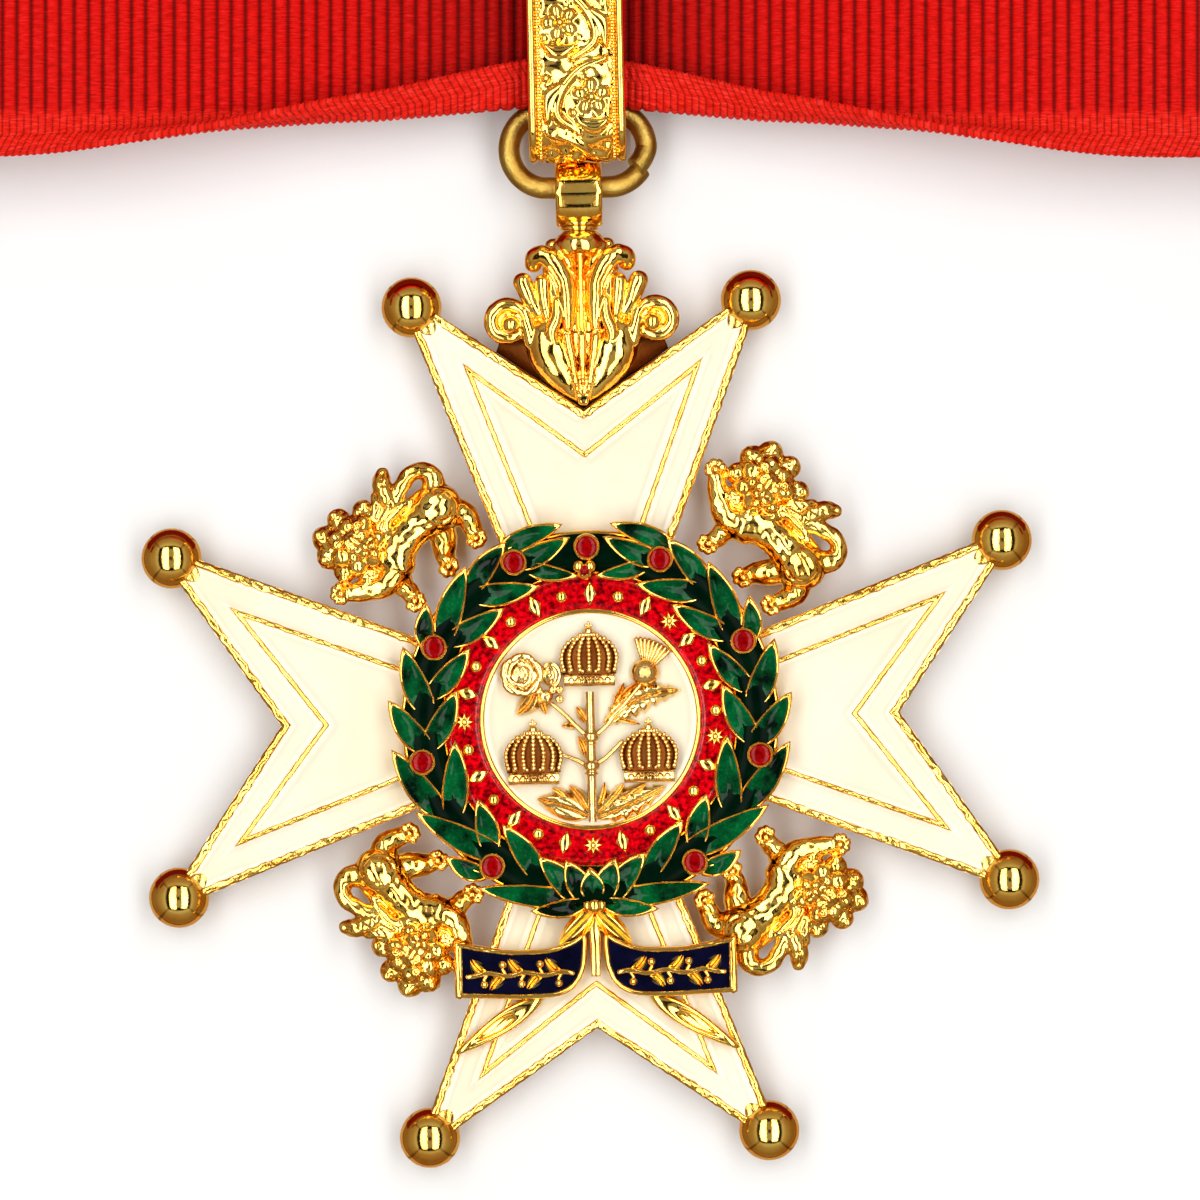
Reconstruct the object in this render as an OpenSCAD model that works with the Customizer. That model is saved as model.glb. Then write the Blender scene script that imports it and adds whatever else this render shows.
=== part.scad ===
// Neck badge of an order: an enamelled eight-pointed cross with a laurel wreath,
// four lions and a scroll, hung from a leafy mount, a ring and a bail on a folded neck ribbon.
// It lies face up. +X is right, +Y is towards the ribbon, +Z is up, and the origin is the
// middle of the cross on the surface that it lies on. Millimetres.

/* [Cross] */
// Distance from the middle of the cross to the level of the arm's two tips
arm_tip_out = 25.3; // [23:0.1:28]
// Distance of each tip from the middle line of its arm
arm_tip_side = 10.8; // [9.5:0.1:12]
// Distance from the middle of the cross to the notch in the end of each arm
notch_out = 17.9; // [16.5:0.1:19]
// Distance from both middle lines at which two arms meet
arm_neck = 1.8; // [1.4:0.1:2.4]
// Thickness of the cross
cross_t = 1.8; // [1.5:0.1:2.2]
// Diameter of the ball on each tip
ball_d = 3.5; // [3:0.1:4]
// How far each ball is set in from its tip
ball_inset = 1.55; // [1.3:0.05:1.9]
// Width of the gold rim round each arm
rim_w = 0.45; // [0.3:0.05:0.6]
// Width of the raised gold line inside each arm
ridge_w = 0.28; // [0.2:0.02:0.4]
// Distance from the middle of the cross to the point of the raised line's V
chevron_out = 15.1; // [14.3:0.1:15.9]
// Distance from the middle of the cross to the tips of the raised line
chevron_tip_out = 19.9; // [19:0.1:20.5]
// Distance of those tips from the middle line of the arm
chevron_tip_side = 6.3; // [5.8:0.1:6.8]
// Depth of the cells that hold the enamel
enamel_d = 0.5; // [0.3:0.05:0.7]

/* [Centre] */
// Radius of the plain plate on the back
back_r = 9; // [8:0.1:10]
// How far the gold disc that carries the centre reaches under the wreath
disc_under = 0.4925; // [0.3:0.01:0.7]
// Thickness of that disc
disc_t = 0.4; // [0.3:0.05:0.6]
// Inner radius of the red ring
ring_in_r = 6.45; // [6.3:0.05:6.6]
// Width of the gold line between the red ring and the middle
ring_line_w = 0.28; // [0.2:0.02:0.36]
// Thickness of the red and cream enamel
centre_enamel_t = 0.42; // [0.3:0.02:0.55]
// Height of the gold relief on the cream enamel
relief_h = 1; // [0.8:0.05:1.3]

/* [Wreath] */
// Radius over the tips of the leaves
wreath_r = 11.75; // [11.2:0.05:12.2]
// Width of a leaf
leaf_w = 1.15; // [1:0.05:1.25]
// Thickness of the leaves
leaf_t = 0.6; // [0.5:0.05:0.8]
// Width of the gold edge of a leaf
leaf_edge = 0.17; // [0.12:0.01:0.22]
// Radius of a berry
berry_r = 0.58; // [0.5:0.02:0.64]
// Width of the gold collar round a berry
collar_w = 0.16; // [0.12:0.01:0.2]

/* [Lions] */
// Distance from the tips of the wreath's leaves out to the middle of a lion's head
lion_reach = 5.15; // [4.6:0.05:5.7]
// Size of a lion
lion_size = 1; // [0.92:0.01:1.06]
// Thickness of a lion
lion_t = 2.9; // [2.4:0.1:3.2]

/* [Scroll] */
// Length of each half of the scroll
scroll_l = 7.7; // [7.2:0.1:8.2]
// Height of the scroll
scroll_h = 3.5; // [3.2:0.1:3.8]
// Distance from the middle of the cross down to the scroll's lower edge
scroll_out = 16.1; // [15.8:0.1:16.5]
// Width of the scroll's gold edge
scroll_edge = 0.34; // [0.26:0.02:0.42]

/* [Suspension] */
// Length of the leafy mount and its loop, from the notch to the top
mount_l = 14.4; // [13.5:0.1:15.5]
// Thickness of the loop
loop_depth = 3.8; // [3.6:0.1:4.2]
// Width of the loop
loop_w = 2.7; // [2.3:0.1:3]
// Wall of the loop
loop_wall = 0.75; // [0.6:0.05:0.85]
// Thickness of the ring's wire
wire_d = 1.25; // [1:0.05:1.3]
// Length of the oval ring, from wire middle to wire middle
ring_l = 7.95; // [7.4:0.05:8.6]
// Height of the oval ring, from wire middle to wire middle
ring_h = 4.5; // [4.2:0.1:5]
// How much shorter the bail is than the ribbon is wide
bail_less = 4; // [3:0.5:5]
// Width of the bail
bail_w = 5.6; // [5:0.1:6.2]
// Depth of the bail, front to back
bail_depth = 5.2; // [5:0.1:6]
// Wall of the bail
bail_wall = 0.6; // [0.5:0.05:0.8]

/* [Ribbon] */
// Width of the ribbon
ribbon_w = 38; // [36:1:40]
// Thickness of the ribbon
ribbon_t = 1; // [0.8:0.05:1.1]
// Length of the ribbon's whole loop
loop_l = 472; // [440:1:520]
// Radius of the turn at each end of the flattened loop
turn_r = 5; // [4.5:0.1:7]
// Turn of the ribbon against the cross, in degrees
ribbon_turn = -1.3; // [-2:0.1:2]
// Length of the clasp across the hidden strand
clasp_l = 34; // [28:1:36]

/* [Hidden] */
$fn = 48;

// Clearance between pieces that are set against each other
gap = 0.04;
// Clearance between pieces that hang loosely in each other
slack = 0.15;
GOLD = "gold";
CREAM = "ivory";

// Inner edge of the wreath, and the disc that it covers
wreath_in_r = 0.69 * wreath_r;
disc_r = wreath_in_r + disc_under;

// Levels above the surface
cross_back = (ball_d - cross_t) / 2;
cross_top = cross_back + cross_t;
cell_floor = cross_top - enamel_d;
disc_z = cross_top + gap;
disc_top = disc_z + disc_t;
centre_z = disc_top + gap;
centre_top = centre_z + centre_enamel_t;
relief_z = centre_top + gap;
leaf_z = centre_top + gap;
leaf_top = leaf_z + leaf_t;
leaf_cell_d = leaf_t / 2;

function turned(p, a) = [p[0] * cos(a) - p[1] * sin(a), p[0] * sin(a) + p[1] * cos(a)];
function clock(a, r) = [r * sin(a), r * cos(a)];
function unit(v) = v / norm(v);
function left_of(v) = [-v[1], v[0]];
function cross_2d(u, v) = u[0] * v[1] - u[1] * v[0];
// Where the line through p along u meets the line through q along v
function meet(p, u, q, v) = p + u * cross_2d(q - p, v) / cross_2d(u, v);
// An anticlockwise outline with each side moved inwards by d
function inset(pts, d) = [
    for (i = [0 : len(pts) - 1])
        let (
            n = len(pts),
            a = pts[(i + n - 1) % n],
            b = pts[i],
            c = pts[(i + 1) % n],
            u = unit(b - a),
            v = unit(c - b))
            meet(a + d * left_of(u), u, b + d * left_of(v), v)];
function mirrored(pts) = [for (i = [len(pts) - 1 : -1 : 0]) [-pts[i][0], pts[i][1]]];

// A plate between two levels with an outline
module slab(pts, low, high) {
    translate([0, 0, low]) linear_extrude(high - low) polygon(pts);
}

module disc(r, low, high) {
    translate([0, 0, low]) cylinder(r = r, h = high - low);
}

// A straight round bar at one level, from point p to point q
module bar(p, q, r, z) {
    translate([p[0], p[1], z]) rotate([0, 90, atan2(q[1] - p[1], q[0] - p[0])])
        cylinder(r = r, h = norm(q - p));
}

// Outline of one pointed leaf from its base to its tip, anticlockwise
leaf_steps = 5;
function leaf_half(t) = 0.5 * pow(sin(180 * pow(t, 0.85)), 0.75);
function leaf(base, tip, w) = let (
    u = unit(tip - base),
    side = -left_of(u),
    l = norm(tip - base))
    concat(
        [base],
        [for (i = [1 : leaf_steps]) let (t = i / (leaf_steps + 1))
            base + u * l * t + side * w * leaf_half(t)],
        [tip],
        [for (i = [leaf_steps : -1 : 1]) let (t = i / (leaf_steps + 1))
            base + u * l * t - side * w * leaf_half(t)]);

// Cross

function side_at(y) = arm_neck
    + (arm_tip_side - arm_neck) * (y - arm_neck) / (arm_tip_out - arm_neck);
cross_outline = [
    for (a = [0 : 90 : 270]) for (p = [
        [arm_neck, arm_neck], [arm_tip_side, arm_tip_out],
        [0, notch_out], [-arm_tip_side, arm_tip_out]]) turned(p, a)];
tip_dir = unit(unit([arm_neck - arm_tip_side, arm_neck - arm_tip_out])
    + unit([-arm_tip_side, notch_out - arm_tip_out]));
ball_at = [arm_tip_side, arm_tip_out] + tip_dir * ball_inset;
// The cells start under the wreath
cell_root = 0.68 * wreath_r;
field_root = cell_root + 3 * rim_w;
arm_outline = [
    [side_at(cell_root), cell_root], [arm_tip_side, arm_tip_out], [0, notch_out],
    [-arm_tip_side, arm_tip_out], [-side_at(cell_root), cell_root]];
field_side = 0.37 * chevron_tip_side;
field_outline = [
    [field_side, field_root], [chevron_tip_side, chevron_tip_out], [0, chevron_out],
    [-chevron_tip_side, chevron_tip_out], [-field_side, field_root]];
// The band runs round the field, outside the raised line
function band_path(play) = let (
    outer = inset(arm_outline, rim_w + play),
    inner = inset(field_outline, -ridge_w - play),
    n = len(outer))
    [concat(outer, inner), [[for (i = [0 : n - 1]) i], [for (i = [0 : n - 1]) n + i]]];

module band(play, low, high) {
    path = band_path(play);
    difference() {
        translate([0, 0, low]) linear_extrude(high - low) polygon(path[0], path[1]);
        for (s = [-1, 1]) translate([s * ball_at[0], ball_at[1], low - gap])
            cylinder(d = ball_d - 2 * gap + 2 * play, h = high - low + 2 * gap);
    }
}

module cross_frame() color(GOLD) {
    difference() {
        slab(cross_outline, cross_back, cross_top);
        for (a = [0 : 90 : 270]) rotate(a) {
            band(0, cell_floor, cross_top + gap);
            slab(field_outline, cell_floor, cross_top + gap);
        }
    }
    for (a = [0 : 90 : 270]) rotate(a) for (s = [-1, 1])
        translate([s * ball_at[0], ball_at[1], ball_d / 2]) sphere(d = ball_d);
}

module arm_band(a) color(CREAM) rotate(a) band(2 * gap, cell_floor + gap, cross_top - gap);

module arm_field(a) color(CREAM) rotate(a)
    slab(inset(field_outline, gap), cell_floor + gap, cross_top - gap);

module back_plate() color(GOLD) disc(back_r, 0, cross_back - gap);

// Centre

// Clock angles of the four stars on the red ring, and the pitch of the marks between them
star_clock = [-90, 40, 99, 180];
mark_pitch = 13;
ring_w = wreath_in_r - ring_in_r;
ring_mid_r = ring_in_r + ring_w / 2;
mark_r = 0.3 * ring_w;
star_r = 0.4525 * ring_w;
star_points = 6;
function star(r) = [
    for (i = [0 : 2 * star_points - 1]) clock(-180 * i / star_points, i % 2 == 0 ? r : 0.5 * r)];
function lozenge(r) = [[0.6 * r, 0], [0, r], [-0.6 * r, 0], [0, -r]];

// The raised stars and, between them, lozenges in turn with pellets
module ring_marks(low, high, grow) {
    for (a = star_clock) rotate(-a) translate([0, ring_mid_r])
        slab(star(star_r + 2 * grow), low, high);
    for (i = [0 : 3]) {
        from = star_clock[i];
        span = (star_clock[(i + 1) % 4] - from + 360) % 360;
        n = round(span / mark_pitch);
        for (k = [1 : n - 1]) rotate(-from - span * k / n) translate([0, ring_mid_r])
            if (k % 2 == 1) slab(lozenge(1.2 * mark_r + 2 * grow), low, high);
            else disc(mark_r / 2 + grow, low, high);
    }
}

module centre_disc() color(GOLD) {
    disc(disc_r, disc_z, disc_top);
    difference() {
        disc(ring_in_r - gap, disc_z, centre_top + leaf_cell_d);
        disc(ring_in_r - gap - ring_line_w, disc_top, centre_top + 1);
    }
    ring_marks(disc_top - gap, centre_top + gap, 0);
}

module red_ring() color("crimson") difference() {
    disc(disc_r - 2 * gap, centre_z, centre_top);
    disc(ring_in_r, centre_z - gap, centre_top + gap);
    ring_marks(centre_z - gap, centre_top + gap, gap);
}

module cream_disc() color(CREAM) disc(ring_in_r - 2 * gap - ring_line_w, centre_z, centre_top);

// The relief on the cream disc, in shares of its radius
device_r = ring_in_r - ring_line_w;
sceptre_r = 0.045 * device_r;
knob_r = 1.7 * sceptre_r;
crown_w = 0.5 * device_r;
crown_h = 0.62 * device_r;
crown_top_at = [0, 0.31 * device_r];
crown_side_at = [0.54 * device_r, -0.6 * device_r];

module sceptre() color(GOLD) {
    top = [0, 0.28 * device_r];
    foot = [0, -0.97 * device_r];
    level = relief_z + knob_r;
    bar(foot, top, sceptre_r, level);
    for (y = [-0.16, -0.44]) translate([0, y * device_r, level]) sphere(r = knob_r);
    // Side shoots, each from a knob to where its flower or leaf starts
    for (s = [-1, 1]) {
        bar([0, -0.44 * device_r], [s * 0.2 * device_r, -0.27 * device_r],
            sceptre_r / 2, level);
        bar([0, -0.16 * device_r], [s * 0.17 * device_r, 0.02 * device_r],
            sceptre_r / 2, level);
        slab(leaf([s * 0.02, -0.9] * device_r, [s * 0.5, -0.72] * device_r, 0.15 * device_r),
            relief_z, relief_z + 0.3 * relief_h);
        slab(leaf([s * 0.02, -0.94] * device_r, [s * 0.34, -0.88] * device_r, 0.1 * device_r),
            relief_z, relief_z + 0.3 * relief_h);
    }
}

// An arched crown with a pearled band, a ball and a small cross
module crown(at) color(GOLD) translate([at[0], at[1], relief_z]) {
    band_h = 0.2 * crown_h;
    pearl_r = 0.06 * crown_w;
    orb_r = 0.1 * crown_w;
    dome_top = 0.78 * crown_h;
    translate([-0.42 * crown_w, 0, 0]) cube([0.84 * crown_w, band_h, 0.62 * relief_h]);
    translate([0, band_h - gap, 0]) crown_dome(crown_w / 2, dome_top - band_h, relief_h);
    for (i = [-2 : 2]) translate([0.18 * i * crown_w, band_h / 2, 0.62 * relief_h])
        sphere(r = pearl_r);
    translate([0, dome_top + 0.5 * orb_r, orb_r]) sphere(r = orb_r);
    translate([-0.03 * crown_w, dome_top + orb_r, 0])
        cube([0.06 * crown_w, crown_h - dome_top - orb_r, 0.4 * relief_h]);
    translate([-0.08 * crown_w, crown_h - 0.11 * crown_w, 0])
        cube([0.16 * crown_w, 0.06 * crown_w, 0.4 * relief_h]);
}

// A dome over the upper part of a circle, which narrows a little to a straight foot
module crown_dome(half_w, h, rise) {
    round_r = 1.15 * half_w;
    intersection() {
        translate([0, h - half_w, 0]) cylinder(r = half_w, h = rise);
        translate([0, h - half_w, rise - round_r]) sphere(r = round_r);
        translate([-half_w, 0, 0]) cube([2 * half_w, h, rise]);
    }
}

rose_at = [-0.6, 0.43] * device_r;
rose_r = 0.2 * device_r;

module rose() color(GOLD) {
    petal_r = 0.55 * rose_r;
    for (i = [0 : 4]) translate(concat(rose_at + clock(72 * i, rose_r - petal_r), relief_z))
        cylinder(r = petal_r, h = (0.5 + 0.02 * i) * relief_h);
    translate(concat(rose_at, relief_z + 0.5 * relief_h)) sphere(r = 0.4 * rose_r);
    // The half-open flower beside it and the leaves under both
    translate(concat(rose_at + [1.3, -0.1] * rose_r, relief_z))
        cylinder(r = 0.5 * rose_r, h = 0.42 * relief_h);
    slab(leaf(rose_at + [0.9, -0.5] * rose_r, rose_at + [-0.3, -1.9] * rose_r, 0.7 * rose_r),
        relief_z, relief_z + 0.3 * relief_h);
    slab(leaf(rose_at + [0.9, -0.5] * rose_r, rose_at + [1.3, -1.9] * rose_r, 0.7 * rose_r),
        relief_z, relief_z + 0.33 * relief_h);
}

thistle_at = [0.52, 0.43] * device_r;
thistle_r = 0.12 * device_r;

module thistle() color(GOLD) {
    crown_top = thistle_at + [0.55, 2.3] * thistle_r;
    translate(concat(thistle_at, relief_z)) intersection() {
        cylinder(r = thistle_r, h = relief_h);
        sphere(r = 1.2 * thistle_r);
    }
    slab([thistle_at + [-0.3, 0.6] * thistle_r, thistle_at + [0.7, 0.3] * thistle_r,
        crown_top + [1, -0.5] * thistle_r, crown_top + [-0.9, 0.3] * thistle_r],
        relief_z, relief_z + 0.5 * relief_h);
    foot = [0.21, 0.05] * device_r;
    slab(leaf(foot, [0.84, 0.26] * device_r, 0.17 * device_r), relief_z, relief_z + 0.3 * relief_h);
    slab(leaf(foot, thistle_at - [0.2, 0.4] * thistle_r, 0.1 * device_r),
        relief_z, relief_z + 0.36 * relief_h);
}

// Wreath

// One side's leaves: clock angle and reach of the tip, clock angle and reach of the base,
// and width. Reaches are shares of the wreath's radius, and widths of a leaf's width.
leaf_rows = [
    [6.7, 0.97, 23, 0.93, 0.8], [24, 0.966, 39, 0.87, 0.9], [37.7, 0.97, 56.5, 0.83, 1],
    [53.2, 0.99, 62.8, 0.89, 0.75], [67.5, 0.99, 82.6, 0.82, 1], [83.3, 1, 96.5, 0.835, 0.95],
    [97.3, 0.99, 117, 0.87, 1], [116.6, 0.974, 140, 0.81, 1], [132, 0.985, 142.3, 0.93, 0.75],
    [144.7, 1, 168, 0.88, 0.85], [161.2, 0.99, 174, 0.91, 0.7],
    [5, 0.9, 21.5, 0.85, 0.85], [3, 0.705, 19, 0.79, 0.65], [19.5, 0.7, 39.5, 0.81, 0.9],
    [36.2, 0.69, 56.5, 0.77, 0.9], [58, 0.685, 77, 0.77, 0.9], [76, 0.668, 95.5, 0.78, 0.95],
    [97.4, 0.672, 121, 0.8, 1], [123.6, 0.677, 139.5, 0.79, 0.9], [138.5, 0.672, 158, 0.79, 0.9]];
// The fan of leaves at the foot: clock angle and reach of the tip, then reach of the base
fan_rows = [[158.5, 0.705], [170.8, 0.69], [181.5, 0.725], [191.5, 0.7], [202.3, 0.72]];
fan_base = 0.9;
fan_w = 0.7;
// Clock angle and reach of each berry
berry_rows = [
    [-24.7, 0.858], [0, 0.848], [24.7, 0.858], [-64, 0.845], [64, 0.845],
    [-103, 0.852], [103, 0.852], [-145, 0.868], [145, 0.868]];
wreath_base_r = 0.93 * wreath_r;
knot_r = 0.045 * wreath_r;
knot_at = clock(180, wreath_base_r - knot_r);

function side_leaf(row, s, shrink) = let (
    tip = clock(s * row[0], row[1] * wreath_r),
    base = clock(s * row[2], row[3] * wreath_r),
    u = unit(tip - base))
    leaf(base + u * 2 * shrink, tip - u * 2.6 * shrink, row[4] * leaf_w - 2 * shrink);
function fan_leaf(i, shrink) = let (
    tip = clock(fan_rows[i][0], fan_rows[i][1] * wreath_r),
    base = clock(180 + 5 * (i - 2), fan_base * wreath_r),
    u = unit(tip - base))
    leaf(base + u * 2 * shrink, tip - u * 2.6 * shrink, fan_w * leaf_w - 2 * shrink);
function berry_at(i) = clock(berry_rows[i][0], berry_rows[i][1] * wreath_r);

// The leaves of one side, each narrower by shrink all round, with the fan's on the given list
module leaves(s, fan, shrink, low, high) {
    for (row = leaf_rows) slab(side_leaf(row, s, shrink), low, high);
    for (i = fan) slab(fan_leaf(i, shrink), low, high);
}

module laurel_wreath() color("goldenrod") {
    difference() {
        union() {
            difference() {
                disc(wreath_base_r, disc_z, leaf_z + gap);
                disc(disc_r + gap, disc_z - gap, leaf_z + 2 * gap);
            }
            leaves(-1, [0, 1, 2], 0, leaf_z, leaf_top);
            leaves(1, [3, 4], 0, leaf_z, leaf_top);
        }
        leaves(-1, [0, 1, 2], leaf_edge, leaf_top - leaf_cell_d, leaf_top + gap);
        leaves(1, [3, 4], leaf_edge, leaf_top - leaf_cell_d, leaf_top + gap);
        for (i = [0 : 8]) translate(concat(berry_at(i), leaf_z - gap))
            cylinder(r = berry_r + collar_w, h = 2 * leaf_t);
    }
    for (i = [0 : 8]) translate(concat(berry_at(i), leaf_z - 2 * gap)) difference() {
        cylinder(r = berry_r + collar_w, h = leaf_t + leaf_cell_d);
        translate([0, 0, leaf_cell_d]) cylinder(r = berry_r + gap, h = 2 * leaf_t);
    }
    translate(concat(knot_at, leaf_z)) sphere(r = knot_r);
}

module leaf_enamel(s, fan) color("darkgreen") difference() {
    leaves(s, fan, leaf_edge + gap, leaf_top - leaf_cell_d + gap, leaf_top - gap);
    translate(concat(knot_at, leaf_z)) cylinder(r = knot_r + gap, h = 2 * leaf_t);
    for (i = [0 : 8]) translate(concat(berry_at(i), leaf_z - gap))
        cylinder(r = berry_r + collar_w + gap, h = 2 * leaf_t);
}

// A berry is a low dome on a short drum, seated in its collar
module berry(i) color("firebrick") translate(concat(berry_at(i), leaf_z + leaf_cell_d - gap)) {
    drum_h = leaf_t;
    dome_h = 0.45 * berry_r;
    dome_r = (berry_r * berry_r + dome_h * dome_h) / (2 * dome_h);
    intersection() {
        cylinder(r = berry_r, h = drum_h + dome_h);
        translate([0, 0, drum_h + dome_h - dome_r]) sphere(r = dome_r);
    }
}

// Lions, in a frame whose +Y points outwards between two arms and whose origin is the
// middle of the cross. All places are shares of the lion's size from its head.

lion_out = wreath_r + lion_reach;
head_side = -1.8;
limb_fn = 8;
// Limbs: side and outward place, level share and radius of the start, then of the end
limb_rows = [
    [[0.9, -2.3], 0.5, 1.15, [4.6, -2.2], 0.5, 1.05],
    [[5.2, -2.3], 0.5, 0.85, [5.5, -3.6], 0.5, 0.5],
    [[5.5, -3.6], 0.5, 0.5, [4.8, -5.2], 0.5, 0.5],
    [[4.2, -2.8], 0.4, 0.7, [3, -4], 0.35, 0.5],
    [[3, -4], 0.35, 0.5, [2.2, -5.2], 0.35, 0.5],
    [[0.4, -2.7], 0.5, 0.75, [0, -4.2], 0.5, 0.45],
    [[0, -4.2], 0.5, 0.45, [-0.4, -5.2], 0.5, 0.5],
    [[-0.4, -2], 0.5, 0.75, [-2, -2.3], 0.45, 0.42],
    [[-2, -2.3], 0.45, 0.42, [-3.5, -1.2], 0.4, 0.5],
    [[5.7, -1.8], 0.4, 0.4, [6, 0], 0.4, 0.36],
    [[6, 0], 0.4, 0.36, [4.6, 0.9], 0.4, 0.4],
    [[4.6, 0.9], 0.4, 0.4, [3.3, 0.5], 0.4, 0.5],
    [[3.2, 0.4], 0.4, 0.45, [4, 1.9], 0.45, 0.4],
    [[3.2, 0.4], 0.4, 0.55, [2.2, -0.6], 0.45, 0.5]];
curl_n = 8;
mane_r = 1.55;
curl_r = 0.78;

module limb_end(p, level, r) {
    translate([p[0] * lion_size, p[1] * lion_size, lion_t * level]) sphere(r = r * lion_size);
}

module lion_body() translate([head_side, lion_out, 0]) {
    for (row = limb_rows) hull() {
        limb_end(row[0], row[1], row[2], $fn = limb_fn);
        limb_end(row[3], row[4], row[5], $fn = limb_fn);
    }
    limb_end([0, 0], 0.5, mane_r, $fn = 10);
    for (i = [0 : curl_n - 1])
        limb_end(clock(360 * i / curl_n, mane_r), 0.6, curl_r, $fn = limb_fn);
    limb_end([-0.1, -0.3], 0.85, 0.7, $fn = limb_fn);
}

// What stands next to the lions, with a clearance all round
module lion_neighbours() {
    slab(inset(cross_outline, -2 * gap), 0, 2 * ball_d);
    disc(wreath_base_r + gap, 0, leaf_top);
    disc(wreath_r + gap, leaf_z - gap, leaf_top + 2 * lion_t);
    for (s = [-1, 1]) slab(inset(half_scroll(s), -gap), scroll_z - gap, 2 * ball_d);
}

module lion(a) color(GOLD) difference() {
    rotate(a) translate([0, 0, cross_back / 2]) lion_body();
    lion_neighbours();
}

// Scroll

scroll_plate_t = 0.55;
scroll_cell_d = 0.45;
tail_t = 0.4;
// Distance from the middle line to the inner end of each half
scroll_in = 0.45;
scroll_z = cross_top + 2 * gap;
scroll_floor = scroll_z + scroll_plate_t;
scroll_top = scroll_floor + scroll_cell_d;
// Outline of the right half: shares of its length from the inner end and of its height
scroll_rows = [
    [0, 0.87], [0.02, 0.5], [0.09, 0.2], [0.22, 0.04], [0.44, 0], [0.74, 0.02], [1, 0.05],
    [1, 0.98], [0.81, 0.9], [0.6, 0.83], [0.3, 0.84], [0.1, 0.98], [0.01, 1.13]];
right_scroll = [for (p = scroll_rows)
    [scroll_in + p[0] * scroll_l, -scroll_out + p[1] * scroll_h]];
function half_scroll(s) = s > 0 ? right_scroll : mirrored(right_scroll);
// Leaves on the scroll's stem: place along the half, and the side of the stem
spray_rows = [[0.2, 1], [0.34, -1], [0.48, 1], [0.62, -1], [0.76, 1]];

// The running spray on each half, wider by grow all round
module spray(s, grow, low, high) {
    y = -scroll_out + 0.42 * scroll_h;
    x0 = scroll_in + 0.14 * scroll_l;
    x1 = scroll_in + 0.9 * scroll_l;
    stem = 0.09 + grow;
    slab(s > 0 ? [[x0, y - stem], [x1, y - stem], [x1, y + stem], [x0, y + stem]]
        : [[-x1, y - stem], [-x0, y - stem], [-x0, y + stem], [-x1, y + stem]], low, high);
    for (row = spray_rows) {
        base = [s * (scroll_in + row[0] * scroll_l), y];
        tip = base + [s * 0.09 * scroll_l, row[1] * 0.27 * scroll_h];
        slab(leaf(base - [s * grow, 0], tip + [s * grow, row[1] * grow], 0.6 + 2 * grow),
            low, high);
    }
}

module scroll(s) color(GOLD) {
    difference() {
        slab(half_scroll(s), scroll_z, scroll_top);
        slab(inset(half_scroll(s), scroll_edge), scroll_floor, scroll_top + gap);
    }
    spray(s, 0, scroll_floor - gap, scroll_top);
    // The end rolled back behind the scroll
    translate([s * (scroll_in + scroll_l - scroll_edge), 0.12 * scroll_h - scroll_out, scroll_floor])
        rotate([-90, 0, 0]) cylinder(r = scroll_edge, h = 0.8 * scroll_h);
    // The pointed stem that shows below
    slab(leaf([s * 0.4 * scroll_l, -scroll_out + 0.1], [s * 1.08 * scroll_l, -scroll_out - 0.9 * scroll_h],
        0.38 * scroll_h), scroll_z, scroll_floor);
}

module scroll_enamel(s) color("midnightblue") difference() {
    slab(inset(half_scroll(s), scroll_edge + gap), scroll_floor + gap, scroll_top - gap);
    spray(s, gap, scroll_floor, scroll_top);
    translate([s * (scroll_in + scroll_l - scroll_edge), -2 * scroll_out, scroll_floor])
        rotate([-90, 0, 0]) cylinder(r = scroll_edge + gap, h = 2 * scroll_out);
}

module scroll_tie() color(GOLD) {
    top = -wreath_base_r - gap;
    foot = -scroll_out + 0.36 * scroll_h;
    half = scroll_in - gap;
    slab([[-half, foot], [half, foot], [half, top], [-half, top]], scroll_z, scroll_top + gap);
    // The knot and the two tails that lie over the scroll
    translate([0, -wreath_r]) disc(half, scroll_top, scroll_top + 1.2 * tail_t);
    for (s = [-1, 1]) slab(leaf([0, -wreath_r], [s * 2.1, -scroll_out + 0.93 * scroll_h], 0.9),
        scroll_top + gap / 2, scroll_top + tail_t);
}

// Leafy mount, its loop, the ring and the bail

// How far the middle of the mount lies above the middle of the balls
mount_rise = 0.65;
mount_mid = ball_d / 2 + mount_rise;
mount_half = 1.5;
loop_top = notch_out + mount_l;
loop_end = loop_top - loop_depth / 2;
loop_foot = notch_out + 0.72 * mount_l;
ring_low = loop_top - loop_wall - wire_d / 2 - slack;
ring_mid = ring_low + ring_h / 2;
ring_top = ring_low + ring_h;

// Lobes of the leaf on the right: side and upward place and radius of the start, then of
// the end, as shares of the mount's length
lobe_rows = [
    [[0.02, 0.06], 0.03, [0.1, 0.26], 0.05], [[0.1, 0.26], 0.05, [0.17, 0.36], 0.06],
    [[0.03, 0.1], 0.04, [0.04, 0.4], 0.06], [[0.05, 0.4], 0.05, [0.1, 0.54], 0.055],
    [[0.1, 0.54], 0.05, [0.17, 0.58], 0.05], [[0.1, 0.3], 0.05, [0.19, 0.48], 0.05],
    [[0.19, 0.48], 0.05, [0.24, 0.47], 0.045], [[0.04, 0.5], 0.05, [0.05, 0.66], 0.05]];
volute_at = [0.3, 0.36];
volute_r = 0.085;

module lobe(s, p, r) {
    translate([s * p[0] * mount_l, notch_out + 2 * rim_w + p[1] * mount_l, mount_mid])
        sphere(r = r * mount_l, $fn = 8);
}

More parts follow.
